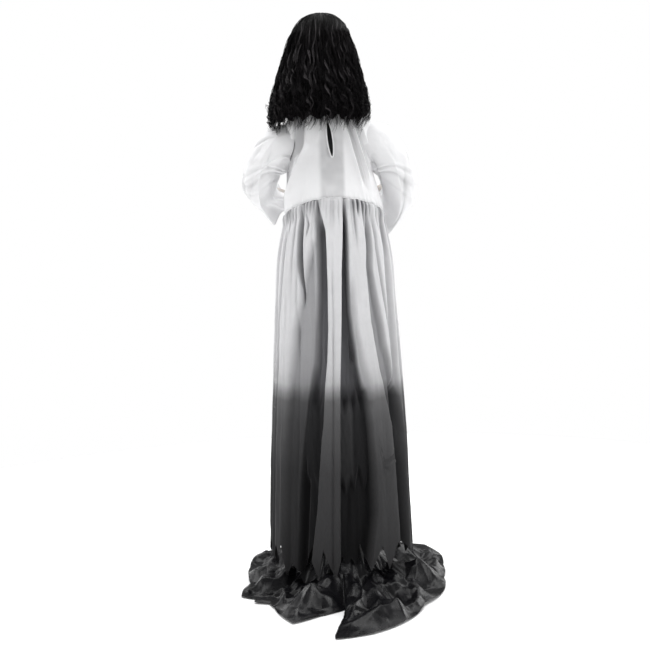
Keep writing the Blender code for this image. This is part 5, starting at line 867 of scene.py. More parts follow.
def make_bodice(columns=520, rows=170):
    turn, angle = turns(columns)
    level = np.linspace(0, 1, rows)[:, None]
    height = NECK_HEIGHT + (BODICE_BREAK - NECK_HEIGHT) * np.clip(level / BODICE_SPLIT, 0, 1)
    points = stack(*oval(angle, *bodice_half(height), TORSO_POWER), height)
    seam_x, seam_y = oval(angle, *SEAM_HALF)
    seam = stack(seam_x + SEAM_SHIFT, seam_y, seam_height(angle))
    lower = np.clip((level - BODICE_SPLIT) / (1 - BODICE_SPLIT), 0, 1)[..., None]
    flare = lower ** BODICE_FLARE
    z = points[..., 2:] * (1 - lower) + seam[..., 2:] * lower
    points = np.concatenate((points[..., :2] * (1 - flare) + seam[..., :2] * flare, z), axis=-1)
    z, across, back = points[..., 2], points[..., 0], points[..., 1] > 0
    above_seam = z - seam_height(angle)
    folds, waist = bodice_folds(turn, across, z, back)
    soft = BODICE_SOFT * layered(points * (14, 14, 9), 3, 41)
    crinkle = BODICE_CRINKLE * layered(points * (60, 60, 40), 2, 43)
    depth, x, wide, height, tall = HOLLOW
    hollow = depth * bump_of(across - x, wide) * bump_of(z - height, tall) * back
    grow = np.maximum(BODICE_LEAST, BODICE_EASE + folds + soft + crinkle - hollow)
    grow = grow * step_up(above_seam, 0.0, 0.030) ** 0.7 + waist * step_up(above_seam, 0.0, 0.003)
    points = points + stack(np.cos(angle), np.sin(angle), 0 * level) * grow[..., None]
    key_x, key_z, key_w, key_h, lean = KEYHOLE
    dx = (points[..., 0] - key_x - lean * (points[..., 2] - key_z)) / key_w
    dz = (points[..., 2] - key_z) / key_h
    ring = np.sqrt(dx ** 2 + dz ** 2)
    keep = ~(back & (ring < 1.0))
    edge = back & (ring >= 1.0) & (ring < KEYHOLE_PULL)
    pulled = (ring - 1) / ring * (1 - step_up(ring, 1.0, KEYHOLE_PULL))
    points[..., 0] = np.where(edge, points[..., 0] - dx * key_w * pulled, points[..., 0])
    dy, dz = points[..., 1] / ARMHOLE_RADIUS, (points[..., 2] - ARMHOLE_HEIGHT) / ARMHOLE_RADIUS
    keep &= ~((np.sqrt(dy ** 2 + dz ** 2) < 1.0) & (np.abs(points[..., 0]) > ARMHOLE_FROM))
    # Grey where the black torso shows through the thin cloth down the middle; the rest is painted shade at the
    # left armpit, in the fold valleys and just above the waist seam.
    shade = between(across, -0.046, -0.034, 0.018, 0.034) * step_up(z, 1.10, 1.15)
    shade = shade * (1 - 0.5 * step_up(z, 1.26, 1.34))
    shade = shade + 0.35 * bump_of(across - 0.086, 0.022) * bump_of(z - 1.27, 0.05)
    shade = shade * (0.75 + 0.25 * layered(points * 30, 2, 51)) * (0.35 + 0.65 * back)
    shade = shade + 0.95 * np.clip(-folds / BODICE_FOLD_DARK, 0, 1) + 0.45 * bump_of(above_seam, 0.006)
    bodice = cloth_piece(
        "dress_bodice", points, white_cloth, "torso", flip=True, keep=keep,
        size=(0.80, 0.29), values={"lining_and_painted_shade": np.clip(shade, 0, 1)},
    )
    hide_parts("bodice")


def white_cord(name, line, radius, body="torso", sides=8):
    tubes(name, line[None], radius, white_cloth, body, sides=sides)


def make_bindings():
    """The bound edges of the keyhole and the neck, and the stitched waist seam."""
    key_x, key_z, key_w, key_h, lean = KEYHOLE
    around = TAU * np.arange(72) / 72
    z = key_z + np.sin(around) * key_h * 1.01
    x = key_x + np.cos(around) * key_w * 1.05 + lean * (z - key_z)
    half_x, half_y = bodice_half(np.maximum(z, BODICE_BREAK))
    y = half_y * (1 - np.abs(x / half_x) ** TORSO_POWER) ** (1 / TORSO_POWER) + 0.0052
    line = stack(x, y, z)
    white_cord("keyhole_binding", np.vstack((line, line[:2])), BINDING_RADIUS)
    angle = TAU * np.arange(721) / 720
    half_x, half_y = bodice_half(np.array(NECK_HEIGHT))
    x, y = oval(angle, half_x + 0.001, half_y + 0.001, TORSO_POWER)
    white_cord("neckline_binding", stack(x, y, NECK_HEIGHT), NECKLINE_RADIUS)
    x, y = oval(angle, SEAM_HALF[0] + 0.0002, SEAM_HALF[1] + 0.0002)
    white_cord("waist_seam", stack(x + SEAM_SHIFT, y, seam_height(angle)), SEAM_CORD_RADIUS, sides=6)


# ---------------------------------------------------------------- sleeves

def bodice_side(y, z):
    """How far out the bodice's side lies at a place on the armhole."""
    half_x, half_y = bodice_half(np.maximum(z, BODICE_BREAK))
    return half_x * np.clip(1 - np.abs(y / half_y) ** TORSO_POWER, 0, 1) ** (1 / TORSO_POWER)


def sleeve_folds(side, along, turn, angle):
    rng = np.random.default_rng(61 + (side < 0))
    folds = np.zeros(np.broadcast(along, turn).shape)
    for _ in range(SLEEVE_FOLDS):
        middle, start = rng.uniform(0, 1), rng.uniform(-0.05, 0.80)
        length, width = rng.uniform(0.14, 0.5), rng.uniform(*SLEEVE_WIDTH)
        gap = turn_gap(turn, middle + rng.normal(0, 0.28) * (along - start))
        fade = bump_of(along - start - length / 2, length / 2)
        folds += rng.uniform(*SLEEVE_DEPTH) * fade * ridge(gap, width, 1.3)
    ripple = np.cos(TAU * (4 * turn + 0.3 * np.sin(3 * along))) + 0.25 * np.cos(TAU * (7 * turn + 0.2))
    folds += BELL_RIPPLE * step_up(along, BELL_FROM, 1.0) * ripple
    behind = np.clip(np.sin(angle), 0, 1)
    for at, deep, width in ELBOW_FOLDS:
        gap = along - at - 0.075 * np.cos(angle)
        folds += deep * behind * (0.6 * bump_of(gap + 1.8 * width, 1.3 * width) - bump_of(gap, width))
    return folds


def make_sleeve(side, name, rows=130, columns=240):
    along = np.linspace(0, 1, rows)[:, None]
    x, y, z, one, two, tilt = (line_through(along, SLEEVE_STEPS, row) for row in SLEEVE_RINGS[name].T)
    first = np.clip(tilt, 0, 1) * math.pi / 2
    second = np.clip(tilt - 1.0, 0, 1.2) * math.pi / 2
    axis_one = stack(np.sin(first), 0, np.cos(first))
    axis_two = stack(0, np.cos(second), -np.sin(second))
    turn, angle = turns(columns)
    folds = sleeve_folds(side, along, turn, angle)
    high, place, wide = BELL_KEEL
    keel = high * step_up(along, BELL_FROM, 1.0) * ridge(turn_gap(turn, place), wide, 1.5)
    lean_x, lean_y = oval(angle, 1.0, 1.0, SLEEVE_POWER)
    round_x, round_y = np.cos(angle), np.sin(angle)
    pressed = step_up(along, 0.05, 0.3)
    wide_x, wide_y = round_x + (lean_x - round_x) * pressed, round_y + (lean_y - round_y) * pressed
    points = (
        stack(x, y, z) + axis_one * (one * wide_x + folds * round_x)[..., None]
        + axis_two * (two * wide_y + (folds + keel) * round_y)[..., None]
    )
    seam_y = SLEEVE_HEAD[1] * SLEEVE_HEAD_SHARE * np.sin(angle)
    seam_z = SLEEVE_HEAD[2] + SLEEVE_HEAD[0] * SLEEVE_HEAD_SHARE * np.cos(angle)
    on_body = stack(bodice_side(seam_y, seam_z) + SLEEVE_OFF_BODICE, seam_y, seam_z)
    near = (1 - step_up(along, 0.0, 0.12))[..., None]
    points = points * (1 - near) + on_body * near
    grow = SLEEVE_CRINKLE * layered(points * (50, 50, 50), 3, 71) * step_up(along, 0.02, 0.1)
    outward = points - points.mean(axis=1, keepdims=True)
    outward /= np.linalg.norm(outward, axis=-1, keepdims=True) + 1e-9
    points = points + outward * grow[..., None]
    points[..., 0] *= side
    # Painted shade in the fold valleys, over a slight even grey.
    shade = np.clip(0.75 * np.clip(-folds / SLEEVE_FOLD_DARK, 0, 1) + 0.08, 0, 1)
    sleeve = cloth_piece(
        f"dress_sleeve_{name}", points, white_cloth, None, flip=side < 0,
        size=(0.46, 0.36), values={"lining_and_painted_shade": shade},
    )
    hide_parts(f"sleeve_{name}")
    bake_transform(sleeve)
    edge = points[-1]
    white_cord(f"sleeve_hem_{name}", np.vstack((edge, edge[:2])), SLEEVE_HEM_RADIUS, f"arm_{name}", 6)


# ---------------------------------------------------------------- train

def crumpled(places, count, length, height, seed):
    """Flat facets between sharp creases, from folds in several directions and sizes."""
    rng = np.random.default_rng(seed)
    total = 0.0
    for step in range(count):
        way, size = rng.uniform(0, math.pi), 0.66 ** step
        warp = 0.34 * smooth_noise(places / length * 0.9 / size ** 0.5, seed + step)
        along = (places[..., 0] * math.cos(way) + places[..., 1] * math.sin(way)) / (length * size) + warp
        along = along + rng.uniform(0, 1)
        total = total + height * size * (2 * np.abs(along - np.floor(along + 0.5)) - 0.5)
    return total


def make_train(columns=720, rows=134):
    turn, angle = turns(columns)
    reach = TRAIN_REACH * round_table(turn[0], TRAIN_OUTLINE)[None, :]
    rows_tent = rows // 3
    part = np.linspace(0, 1, rows_tent)[:, None]
    radius_tent = COLLAR[0] + (TENT_RADIUS - COLLAR[0]) * part
    height_tent = COLLAR[1] * shares(TENT_ROWS, part)[0]
    part = np.linspace(0, 1, rows - rows_tent + 1)[1:, None]
    radius_floor = TENT_RADIUS + (reach - TENT_RADIUS) * part
    ray = TRAIN_CONES * (turn - 0.125) + 0.22 * np.sin(TAU * 2 * turn)
    crest = 1 - 2 * np.abs(ray - np.floor(ray + 0.5))
    low, high = shares(TRAIN_FLOOR_ROWS, part)
    height_floor = TRAIN_CREST * (low + (high - low) * crest)
    radius = np.vstack((np.broadcast_to(radius_tent, (rows_tent, columns)), radius_floor))
    height = np.vstack((np.broadcast_to(height_tent, (rows_tent, columns)), height_floor))
    flat = stack(radius * np.cos(angle), radius * np.sin(angle), 0)
    rise = step_up(radius, 0.05, 0.17)
    edge = 1 - step_up(radius / reach, 0.86, 1.0)
    warp = 0.30 * layered(flat * 6 + 2.0, 2, 71)
    rays = stack(np.cos(angle + warp) * 3.4, np.sin(angle + warp) * 3.4, radius * 5.0 + warp)
    folds = LONG_FOLD * (creased(rays, 2, 83) - 0.6) + BROAD_FOLD * (creased(flat * 8 + 3.1, 2, 87) - 0.55)
    lift = rise * (folds + crumpled(flat, *TRAIN_FACETS)) * (0.16 + 0.84 * edge)
    tent = TENT_FOLD * (1 - rise) * step_up(radius, 0.02, 0.10) * np.cos(9 * angle + 2 * np.sin(3 * angle))
    height = np.maximum(height + lift, TRAIN_LOWEST + 0.0010 * (1 + smooth_noise(flat * 30, 3)))
    radius = radius + tent + EDGE_WANDER * rise * edge * smooth_noise(flat * 17 + 9, 101)
    place, wide, swing = TRAIN_SLIT
    swing = swing * step_up(radius / TRAIN_REACH, 0.53, 1.0) * bump_of(turn_gap(turn, place), wide)
    angle = angle + TAU * swing
    points = stack(radius * np.cos(angle), radius * np.sin(angle), height)
    train = cloth_piece("satin_train", points, black_satin, "stand", size=(1.7, 0.62))
    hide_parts("train")


# ---------------------------------------------------------------- wig

def wig_middle(down):
    """The middle line of the wig, which leans a little to one side."""
    height = WIG_TOP + (WIG_BOTTOM - WIG_TOP) * down
    return stack(WIG_LEAN[0] + WIG_LEAN[1] * down, WIG_SHIFT, height)


def wig_point(spread, down, inset=0.0):
    """A point on the wig. spread runs from -1 to 1 round from the face's one side to its other."""
    half_x, half_y = (half * share - inset for half, share in zip(WIG_HALF, shares(WIG_ROWS, down)))
    middle = WIG_LEAN[0] + WIG_LEAN[1] * down
    open_x = (WIG_OPEN + np.sign(spread) * middle) * step_up(down, 0.06, 0.20)
    gap = np.arcsin(np.clip(open_x / np.maximum(half_x, 0.02), 0, 0.98))
    angle = math.pi / 2 + spread * (math.pi - gap)
    return wig_middle(down) + stack(*oval(angle, half_x, half_y, WIG_POWER), 0)


def make_cap(rows=90, columns=260):
    """The dark mass under the strands."""
    spread = np.linspace(-1, 1, columns)[None, :]
    back = 1 - step_up(np.abs(spread), 0.36, 0.60)
    end = (WIG_TOP - WIG_SIDE_BOTTOM) / (WIG_TOP - WIG_BOTTOM) - 0.07
    end = end + (0.925 - end) * back + 0.02 * np.cos(TAU * 9 * spread)
    down = np.linspace(0.004, 1, rows)[:, None] * end
    lock = 0.0035 * np.cos(TAU * 23 * spread + 4 * np.sin(9 * down + 11 * spread))
    points = wig_point(spread, down, CAP_INSET + lock)
    points[0] = points[0].mean(axis=0)
    cap = cloth_piece(
        "wig_cap", points, hair_dark, None, wrap=False, size=(0.7, 0.35),
        values={"strand": np.zeros(points.shape[:2])},
    )
    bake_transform(cap)
    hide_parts("wig")


def lock_lines(rng, spread, begin, end, size, swing, pace, per_lock, steps, inset, curl_end, reach):
    """Strands of wavy locks: (strands, steps, 3) points, shares of their radii, each strand's lock."""
    count = len(spread)
    each = np.repeat(np.arange(count), per_lock)
    n = len(each)
    run = np.linspace(0, 1, steps)[None, :]
    t = run * rng.uniform(0.80, 1.05, n)[:, None]
    pick = lambda values: values[each][:, None]
    down = np.clip(pick(begin) + (pick(end) - pick(begin)) * t, 0.0, 1.04)
    sweep = rng.normal(-0.035, 0.030, count)
    lean = np.clip(pick(spread) + pick(sweep) * t, -1, 1)
    base = wig_point(lean, down)
    side = wig_point(np.clip(lean + 0.01, -1, 1), down) - wig_point(np.clip(lean - 0.01, -1, 1), down)
    side /= np.linalg.norm(side, axis=-1, keepdims=True) + 1e-9
    outward = np.cross(side, np.broadcast_to(np.array([0, 0, 1.0]), side.shape))
    toward = base - wig_middle(down)
    toward[..., 2] = 0
    outward /= np.linalg.norm(outward, axis=-1, keepdims=True) + 1e-9
    outward *= np.sign((outward * toward).sum(-1, keepdims=True) + 1e-9)
    drift = stack(4.0 * spread, 0 * spread + 0.5 + inset * 300, 0 * spread)
    phase = 5.0 * smooth_noise(drift, 77) + rng.normal(0, 0.9, count)
    grow = 0.20 + 0.80 * step_up(down, 0.10, 0.80)
    tip = step_up(t, 0.72, 1.0)
    coil = tip * pick(curl_end)
    wave = TAU * pick(pace) * (down + 0.26 * coil) + pick(phase) + rng.normal(0, 0.34, n)[:, None]
    curl = pick(swing) * grow * (1 + 0.5 * coil)
    angle = rng.uniform(0, TAU, n)[:, None] + 1.6 * t
    share = np.sqrt(rng.uniform(0.02, 1.0, n))[:, None]
    thick = pick(size) * share * (1 - 0.62 * step_up(t, 0.62, 1.0)) * step_up(down, -0.02, 0.10)
    side_way = curl * np.sin(wave) + thick * np.cos(angle)
    out_way = curl * 0.8 * np.cos(wave) + thick * 0.8 * np.sin(angle) - pick(inset)
    lines = base + side * side_way[..., None] + outward * np.minimum(out_way, reach)[..., None]
    rise = curl * (0.35 * tip + 0.9 * coil) * np.sin(wave + 1.5)
    lines[..., 2] = np.minimum(lines[..., 2] + rise, WIG_TOP - 0.0008)
    radii = (1 - 0.75 * step_up(run, 0.80, 1.0)) * np.ones((n, 1))
    return lines, radii, each


WHOLE_LOCKS, WHOLE_STREAKS = 0.65, 0.25  # shares of the locks that start at the crown
LATE_START, LOW_START = (0.02, 0.45), (0.35, 0.75)  # where the others start, as shares of the drop
RINGLET_PLACES = (0.36, 0.66)  # shares of the way from the back's middle to the face
HAIR_SETS = (
    # name, locks, strands, size, swing, inset, unevenness of the ends, radius, curl at the ends, reach,
    # steps, finish
    ("under", 100, 15, 0.0085, 0.0036, 0.0110, 0.07, 0.00072, 0.25, 0.005, 46, hair_dark),
    ("outer", 100, 20, 0.0062, 0.0060, 0.0060, 0.12, 0.00062, 0.30, 0.006, 52, hair_dark),
    ("tips", 120, 5, 0.0042, 0.0034, 0.0050, 0.05, 0.00044, 0.50, 0.004, 30, hair_dark),
    # The streaks are painted highlights: thin locks in the lighter copy of the hair.
    ("streaks", 46, 8, 0.0012, 0.0080, 0.0005, 0.40, 0.00054, 0.60, 0.007, 60, hair_painted_highlight),
    ("loose", 84, 9, 0.0030, 0.0080, 0.0020, 0.20, 0.00055, 0.90, 0.008, 64, hair_dark),
    ("wisps", 90, 3, 0.0014, 0.0105, -0.0025, 0.24, 0.00046, 1.10, 0.010, 72, hair_dark),
    ("ringlets", 80, 6, 0.0013, 0.0066, -0.0030, 0.10, 0.00048, 2.20, 0.014, 96, hair_dark),
)
LOW_SETS = ("ringlets", "tips")
MOST_TRIANGLES = 190000  # of one piece of hair


def make_hair():
    rng = np.random.default_rng(5)
    side_end = (WIG_TOP - WIG_SIDE_BOTTOM) / (WIG_TOP - WIG_BOTTOM)
    for name, count, per_lock, size, swing, inset, uneven, thick, curly, reach, steps, tint in HAIR_SETS:
        spread = np.clip((np.arange(count) + rng.uniform(-0.5, 0.5, count)) / count * 2 - 1, -1, 1)
        behind = 1 - step_up(np.abs(spread), 0.40, 0.56)
        if name == "ringlets":
            spread = rng.choice((-1, 1), count) * rng.uniform(*RINGLET_PLACES, count)
        end = side_end + (1.0 - side_end) * behind - rng.uniform(0, 1, count) ** 2 * uneven
        end = end + rng.uniform(0, 0.012, count)
        whole = WHOLE_STREAKS if name == "streaks" else WHOLE_LOCKS
        begin = np.where(rng.uniform(0, 1, count) < whole, 0.0, rng.uniform(*LATE_START, count))
        if name in LOW_SETS:
            begin = rng.uniform(*LOW_START, count)
        shade = rng.uniform(0, 1, count) ** 1.6
        lines, radii, each = lock_lines(
            rng, spread, begin, end, size * rng.uniform(0.6, 1.35, count),
            swing * rng.uniform(0.5, 1.3, count), rng.uniform(3.2, 5.4, count), per_lock, steps,
            inset + rng.uniform(-0.002, 0.003, count), curly * rng.uniform(0.4, 1.0, count), reach,
        )
        light = np.clip(shade[each] + rng.normal(0, 0.10, len(each)), 0, 1)
        parts = math.ceil(len(lines) * steps * 6 / MOST_TRIANGLES)
        for part in range(parts):
            rows = slice(part * len(lines) // parts, (part + 1) * len(lines) // parts)
            strands = tubes(
                f"hair_{name}_{part + 1}", lines[rows], thick * radii[rows], tint, None,
                values={"strand": light[rows]},
            )
            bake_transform(strands)


# ---------------------------------------------------------------- head

# Soft forms of the face: forward height, how far out, width, how far up and width, in half widths
FACE = np.array((
    (200, 0, 140, -440, 240), (90, 0, 120, -120, 250), (-22, 190, 50, -560, 90), (40, 0, 600, 220, 140),
    (-35, 410, 240, 30, 170), (-93, 405, 165, 0, 60), (50, 0, 240, -830, 110), (-30, 0, 300, -920, 50),
    (70, 0, 260, -1200, 170), (30, 620, 220, -380, 260), (35, 100, 70, -560, 80), (-22, 75, 45, -625, 35),
    (30, 60, 150, -855, 35), (34, 0, 170, -965, 45), (-20, 0, 240, -905, 16), (12, 400, 260, 205, 45),
    (-12, 0, 60, -720, 70),
)) / 1000
MOUTH_HEIGHT = -0.906
BROW_HEIGHT = 0.255
NECK_RADIUS, NECK_LOW, NECK_LENGTH = 0.0452, 1.366, 0.120
LASHES, LASH_RADIUS, LID_THICKNESS = 22, 0.00016, 0.0006


def face_relief(x, z):
    relief = 0.0 * x
    for height, out, width, up, tall in FACE:
        relief = relief + height * bump_of(np.abs(x) - out, width) * bump_of(z - up, tall)
    return relief


def make_head(rows=200, columns=260):
    lift = np.linspace(-math.pi / 2, math.pi / 2, rows)[:, None]
    turn = (TAU * np.arange(columns) / columns)[None, :]
    level, ring = np.sin(lift), np.cos(lift)
    jaw = 1 - 0.24 * np.maximum(0, -level) ** 1.4
    x = HEAD_HALF[0] * ring * np.cos(turn) * jaw
    y = HEAD_HALF[1] * ring * np.sin(turn) * jaw
    y = np.where(y < 0, y * (1 - 0.06 * np.maximum(0, level)), y)
    z = HEAD_HALF[2] * level + 0 * turn
    facing = np.where(y < 0, np.minimum(1.0, -y / HEAD_HALF[1] * 1.6), 0.0)
    u, v = x / HEAD_HALF[0], z / HEAD_HALF[0]
    y = y - HEAD_HALF[0] * face_relief(u, v) * facing
    points = stack(x, y, z) + np.array(HEAD_CENTRE)
    front = facing > 0.3
    arch = np.clip(1 - (u / 0.27) ** 2, 0, 1)
    bow = 1 - 0.30 * bump_of(u, 0.035)
    above = (v - MOUTH_HEIGHT) / (0.062 * arch * bow + 1e-4)
    below = (MOUTH_HEIGHT - v) / (0.080 * arch ** 0.8 + 1e-4)
    lips = 1 - step_up(np.where(v > MOUTH_HEIGHT, above, below), 0.75, 1.1)
    lips = lips * step_up(arch, 0.0, 0.12) * front
    sockets = 0.50 * bump_of(np.abs(u) - 0.41, 0.24) * bump_of(v - 0.02, 0.17)
    nostrils = bump_of(np.abs(u) - 0.078, 0.034) * bump_of(v + 0.640, 0.022)
    line = 0.9 * bump_of(np.abs(u), 0.24) * bump_of(v - MOUTH_HEIGHT, 0.009)
    brow_arch = v - BROW_HEIGHT + 0.10 * (np.abs(u) - 0.40) ** 2 * 8
    brows = bump_of(np.abs(u) - 0.44, 0.20) * bump_of(brow_arch, 0.030)
    shade = np.clip(sockets + nostrils + line + brows, 0, 1) * front
    head = cloth_piece(
        "ghost_head", points, pale_skin, "head", size=(0.5, 0.3),
        values={"lips": lips, "shade": shade},
    )
    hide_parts("head")
    make_neck()
    for side, name in SIDES:
        make_lids(side, name)


def make_neck(rows=24, columns=64):
    around = (TAU * np.arange(columns) / columns)[None, :]
    up = np.linspace(0, 1, rows)[:, None]
    half = NECK_RADIUS * (1 - 0.10 * np.sin(math.pi * up)) * (1 + 0.10 * step_up(up, 0.75, 1.0))
    cords = 0.0016 * bump_of(np.abs(np.cos(around)) - 0.45, 0.12) * (np.sin(around) < 0)
    neck = stack(
        half * np.cos(around), half * 1.02 * np.sin(around) - cords - 0.002 * up, NECK_LOW + NECK_LENGTH * up,
    )
    cloth_piece("ghost_neck", neck, pale_skin, "head", size=(0.28, 0.12))


def make_lids(side, name, rows=20, columns=44):
    """Both eyelids, as thin shells round the eyeball with a rolled edge, and the lashes."""
    across = np.linspace(-1, 1, columns)[None, :]
    centre = np.array((side * EYE_PLACE[0], EYE_PLACE[1], EYE_PLACE[2]))
    azimuth = across * 1.25
    for part, sign, open_line in (("upper", 1, 0.20), ("lower", -1, 0.34)):
        edge = sign * open_line * np.cos(across * math.pi / 2) ** 0.8 - 0.03
        share = np.linspace(0, 1, rows)[:, None]
        lift = edge + (sign * 1.35 - edge) * share
        radius = EYE_RADIUS * (1.075 - 0.05 * (share < 0.03)) + 0.0006 * bump_of(share - 0.08, 0.06)
        x = np.sin(azimuth) * np.cos(lift) * radius
        y = -np.cos(azimuth) * np.cos(lift) * radius
        z = np.sin(lift) * radius + 0 * azimuth
        points = stack(x, y, z) + centre
        shade = 0.55 * (1 - step_up(share, 0.0, 0.25)) + 0.25 + 0 * azimuth
        lid = cloth_piece(
            f"eyelid_{part}_{name}", points, pale_skin, "head", wrap=False, flip=sign > 0,
            size=(0.03, 0.02), values={"shade": shade},
        )
        lid.modifiers.new("thickness", "SOLIDIFY").thickness = LID_THICKNESS
    t = np.linspace(0, 1, 6)[None, :]
    spots = np.linspace(-0.85, 0.85, LASHES)[:, None]
    lift = 0.20 * np.cos(spots * math.pi / 2) ** 0.8 - 0.03
    reach = EYE_RADIUS * (1.09 + 0.30 * t)
    angle = spots * 1.25 * (1 + 0.06 * t)
    x = np.sin(angle) * np.cos(lift) * reach
    y = -np.cos(angle) * np.cos(lift) * reach
    z = np.sin(lift) * reach + 0.0022 * t ** 2 - 0.0012 * t
    lines = stack(x, y, z) + centre
    tubes(
        f"lashes_{name}", lines, LASH_RADIUS * (1 - 0.7 * t), hair_dark, "head",
        values={"strand": np.zeros(LASHES)},
    )


# ---------------------------------------------------------------- hands

# Share of the hand's length, half width and thickness of the palm
PALM = np.array(((0, 42, 70), (10, 50, 92), (28, 86, 100), (42, 98, 90), (52, 92, 66))) / 100
# Fingers: sideways in hand widths, then start, reach and drop in hand lengths
FINGERS = np.array((
    (370, 450, 340, 115), (140, 480, 420, 100), (-100, 490, 450, 95), (-340, 470, 410, 110),
)) / 1000
FINGER_FAN = 0.16
FINGER_LOW = 0.012  # how far below the wrist's middle a finger starts, in hand lengths
# Share of a finger's reach and of its drop, and its thickness
FINGER_BEND = np.array(((0, 0, 100), (45, 16, 97), (78, 50, 86), (93, 80, 72), (100, 100, 34))) / 100
# Thumb: sideways in hand widths, forward and up in hand lengths, thickness
THUMB = np.array(((-22, 13, -3, 135), (-55, 27, -8, 115), (-66, 41, -14, 98), (-69, 52, -20, 45))) / 100
HAND_LENGTH, HAND_WIDTH, HAND_THICKNESS, FINGER_RADIUS = 0.168, 0.078, 0.025, 0.0082
ELBOW = (0.1229 + 0.0735, 0.0, 1.3156 - 0.150)
ELBOW_TO_WRIST = (-0.056, -0.225, 0.006)
WRIST_GAP = 0.0003
# Forearm: share of the way from elbow to wrist, half width, half thickness
FOREARM = (
    (0.0, 0.0200, 0.0200), (0.25, 0.0205, 0.0200), (0.60, 0.0190, 0.0172), (0.90, 0.0172, 0.0125),
    (1.06, 0.0168, 0.0098),
)
KNUCKLES = ((0.45, 0.05), (0.78, 0.04))  # share of a finger's length, width of the swelling
KNUCKLE_SWELL = 0.05
ROOT_CLOSED, TIP_CLOSED = 0.3, 0.45  # thickness of the last ring at both ends
PALM_POWER = 2.4
TENDON_HEIGHT = 0.0012
SKIN_CREASES = (240, 7, 0.18)  # per metre, seed, darkness
SKIN_GRAIN, SKIN_SOFT = 0.0014, (0.6, 7)  # size of the remeshed cells, strength and rounds of smoothing
NAIL_LENGTH, NAIL_BACK, NAIL_THICKNESS = 0.0082, 0.0098, 0.0006
NAIL_CURVE = 1.15
FINGER_NAIL, THUMB_NAIL = 0.72, 0.85  # width shares of the finger's radius


def ring_tube(middles, radii, steps=20):
    """Rings of a smooth tube through a few middles, with knuckles and rounded ends."""
    knots = np.linspace(0, 1, len(middles))
    fine = np.linspace(0, 1, 34)
    line = stack(*(line_through(fine, knots, row) for row in np.array(middles).T))
    run = np.gradient(line, axis=0)
    run /= np.linalg.norm(run, axis=-1, keepdims=True)
    side = np.cross(run, (0.13, 0.21, 0.97))
    side /= np.linalg.norm(side, axis=-1, keepdims=True)
    rise = np.cross(side, run)
    angle = TAU * np.arange(steps) / steps
    swelling = 1 + sum(KNUCKLE_SWELL * bump_of(fine - at, wide) for at, wide in KNUCKLES)
    thick = line_through(fine, knots, radii) * swelling
    thick[0] *= ROOT_CLOSED
    thick[-1] *= TIP_CLOSED
    around = side[:, None] * np.cos(angle)[:, None] + rise[:, None] * np.sin(angle)[:, None]
    return line[:, None] + thick[:, None, None] * around


def hand_shapes(side, elbow, wrist, forward, right, lift):
    """Rings of palm, forearm, fingers and thumb, and the last two middles and the size of each nail."""
    angle = TAU * np.arange(40) / 40

    def place(sideways, ahead, up):
        return (
            wrist + forward * ahead * HAND_LENGTH + right * side * sideways * HAND_WIDTH
            + lift * up * HAND_LENGTH
        )

    fine = np.linspace(0, 1, 30)
    ahead, wide, deep = (line_through(fine, np.linspace(0, 1, len(PALM)), row) for row in PALM.T)
    x, z = oval(angle[None, :], HAND_WIDTH / 2 * wide[:, None], HAND_THICKNESS / 2 * deep[:, None], PALM_POWER)
    tendons = TENDON_HEIGHT * np.cos(4 * math.pi * x / HAND_WIDTH) * (z > 0) * step_up(ahead, 0.3, 0.5)[:, None]
    z = z - ahead[:, None] * HAND_THICKNESS / 5 + tendons
    palm = wrist + forward * (ahead * HAND_LENGTH)[:, None, None] + right * x[..., None] + lift * z[..., None]
    share = np.linspace(0.0, 1.06, 48)
    wide, deep = shares(np.array(FOREARM), share)
    x, z = oval(angle[None, :], wide[:, None], deep[:, None])
    along = forward * (share * np.linalg.norm(wrist - elbow))[:, None, None]
    shapes = [palm, elbow + along + right * x[..., None] + lift * z[..., None]]
    nails = []
    for sideways, front, reach, drop in FINGERS:
        middles = [
            place(sideways + FINGER_FAN * sideways * t, front + reach * t, -FINGER_LOW - drop * fall)
            for t, fall, _ in FINGER_BEND
        ]
        shapes.append(ring_tube(middles, FINGER_RADIUS * FINGER_BEND[:, 2]))
        nails.append((middles[-1], middles[-2], FINGER_RADIUS * FINGER_NAIL))
    middles = [place(*row[:3]) for row in THUMB]
    shapes.append(ring_tube(middles, FINGER_RADIUS * THUMB[:, 3]))
    nails.append((middles[-1], middles[-2], FINGER_RADIUS * THUMB_NAIL))
    return shapes, nails


def joined_skin(name, shapes):
    """One smooth mesh round closed shapes that overlap."""
    shape = bmesh.new()
    for points in shapes:
        rings = [[shape.verts.new(p) for p in row] for row in points]
        for one, two in zip(rings, rings[1:]):
            for j in range(len(one)):
                k = (j + 1) % len(one)
                shape.faces.new((one[j], one[k], two[k], two[j]))
        shape.faces.new(rings[0][::-1])
        shape.faces.new(rings[-1])
    bmesh.ops.recalc_face_normals(shape, faces=shape.faces)
    mesh = bpy.data.meshes.new(name)
    shape.to_mesh(mesh)
    shape.free()
    item = bpy.data.objects.new(name, mesh)
    bpy.context.scene.collection.objects.link(item)
    cells = item.modifiers.new("remesh", "REMESH")
    cells.mode, cells.voxel_size = "VOXEL", SKIN_GRAIN
    soft = item.modifiers.new("smooth", "SMOOTH")
    soft.factor, soft.iterations = SKIN_SOFT
    depsgraph = bpy.context.evaluated_depsgraph_get()
    final = bpy.data.meshes.new_from_object(item.evaluated_get(depsgraph))
    item.modifiers.clear()
    item.data = final
    final.shade_smooth()
    return item


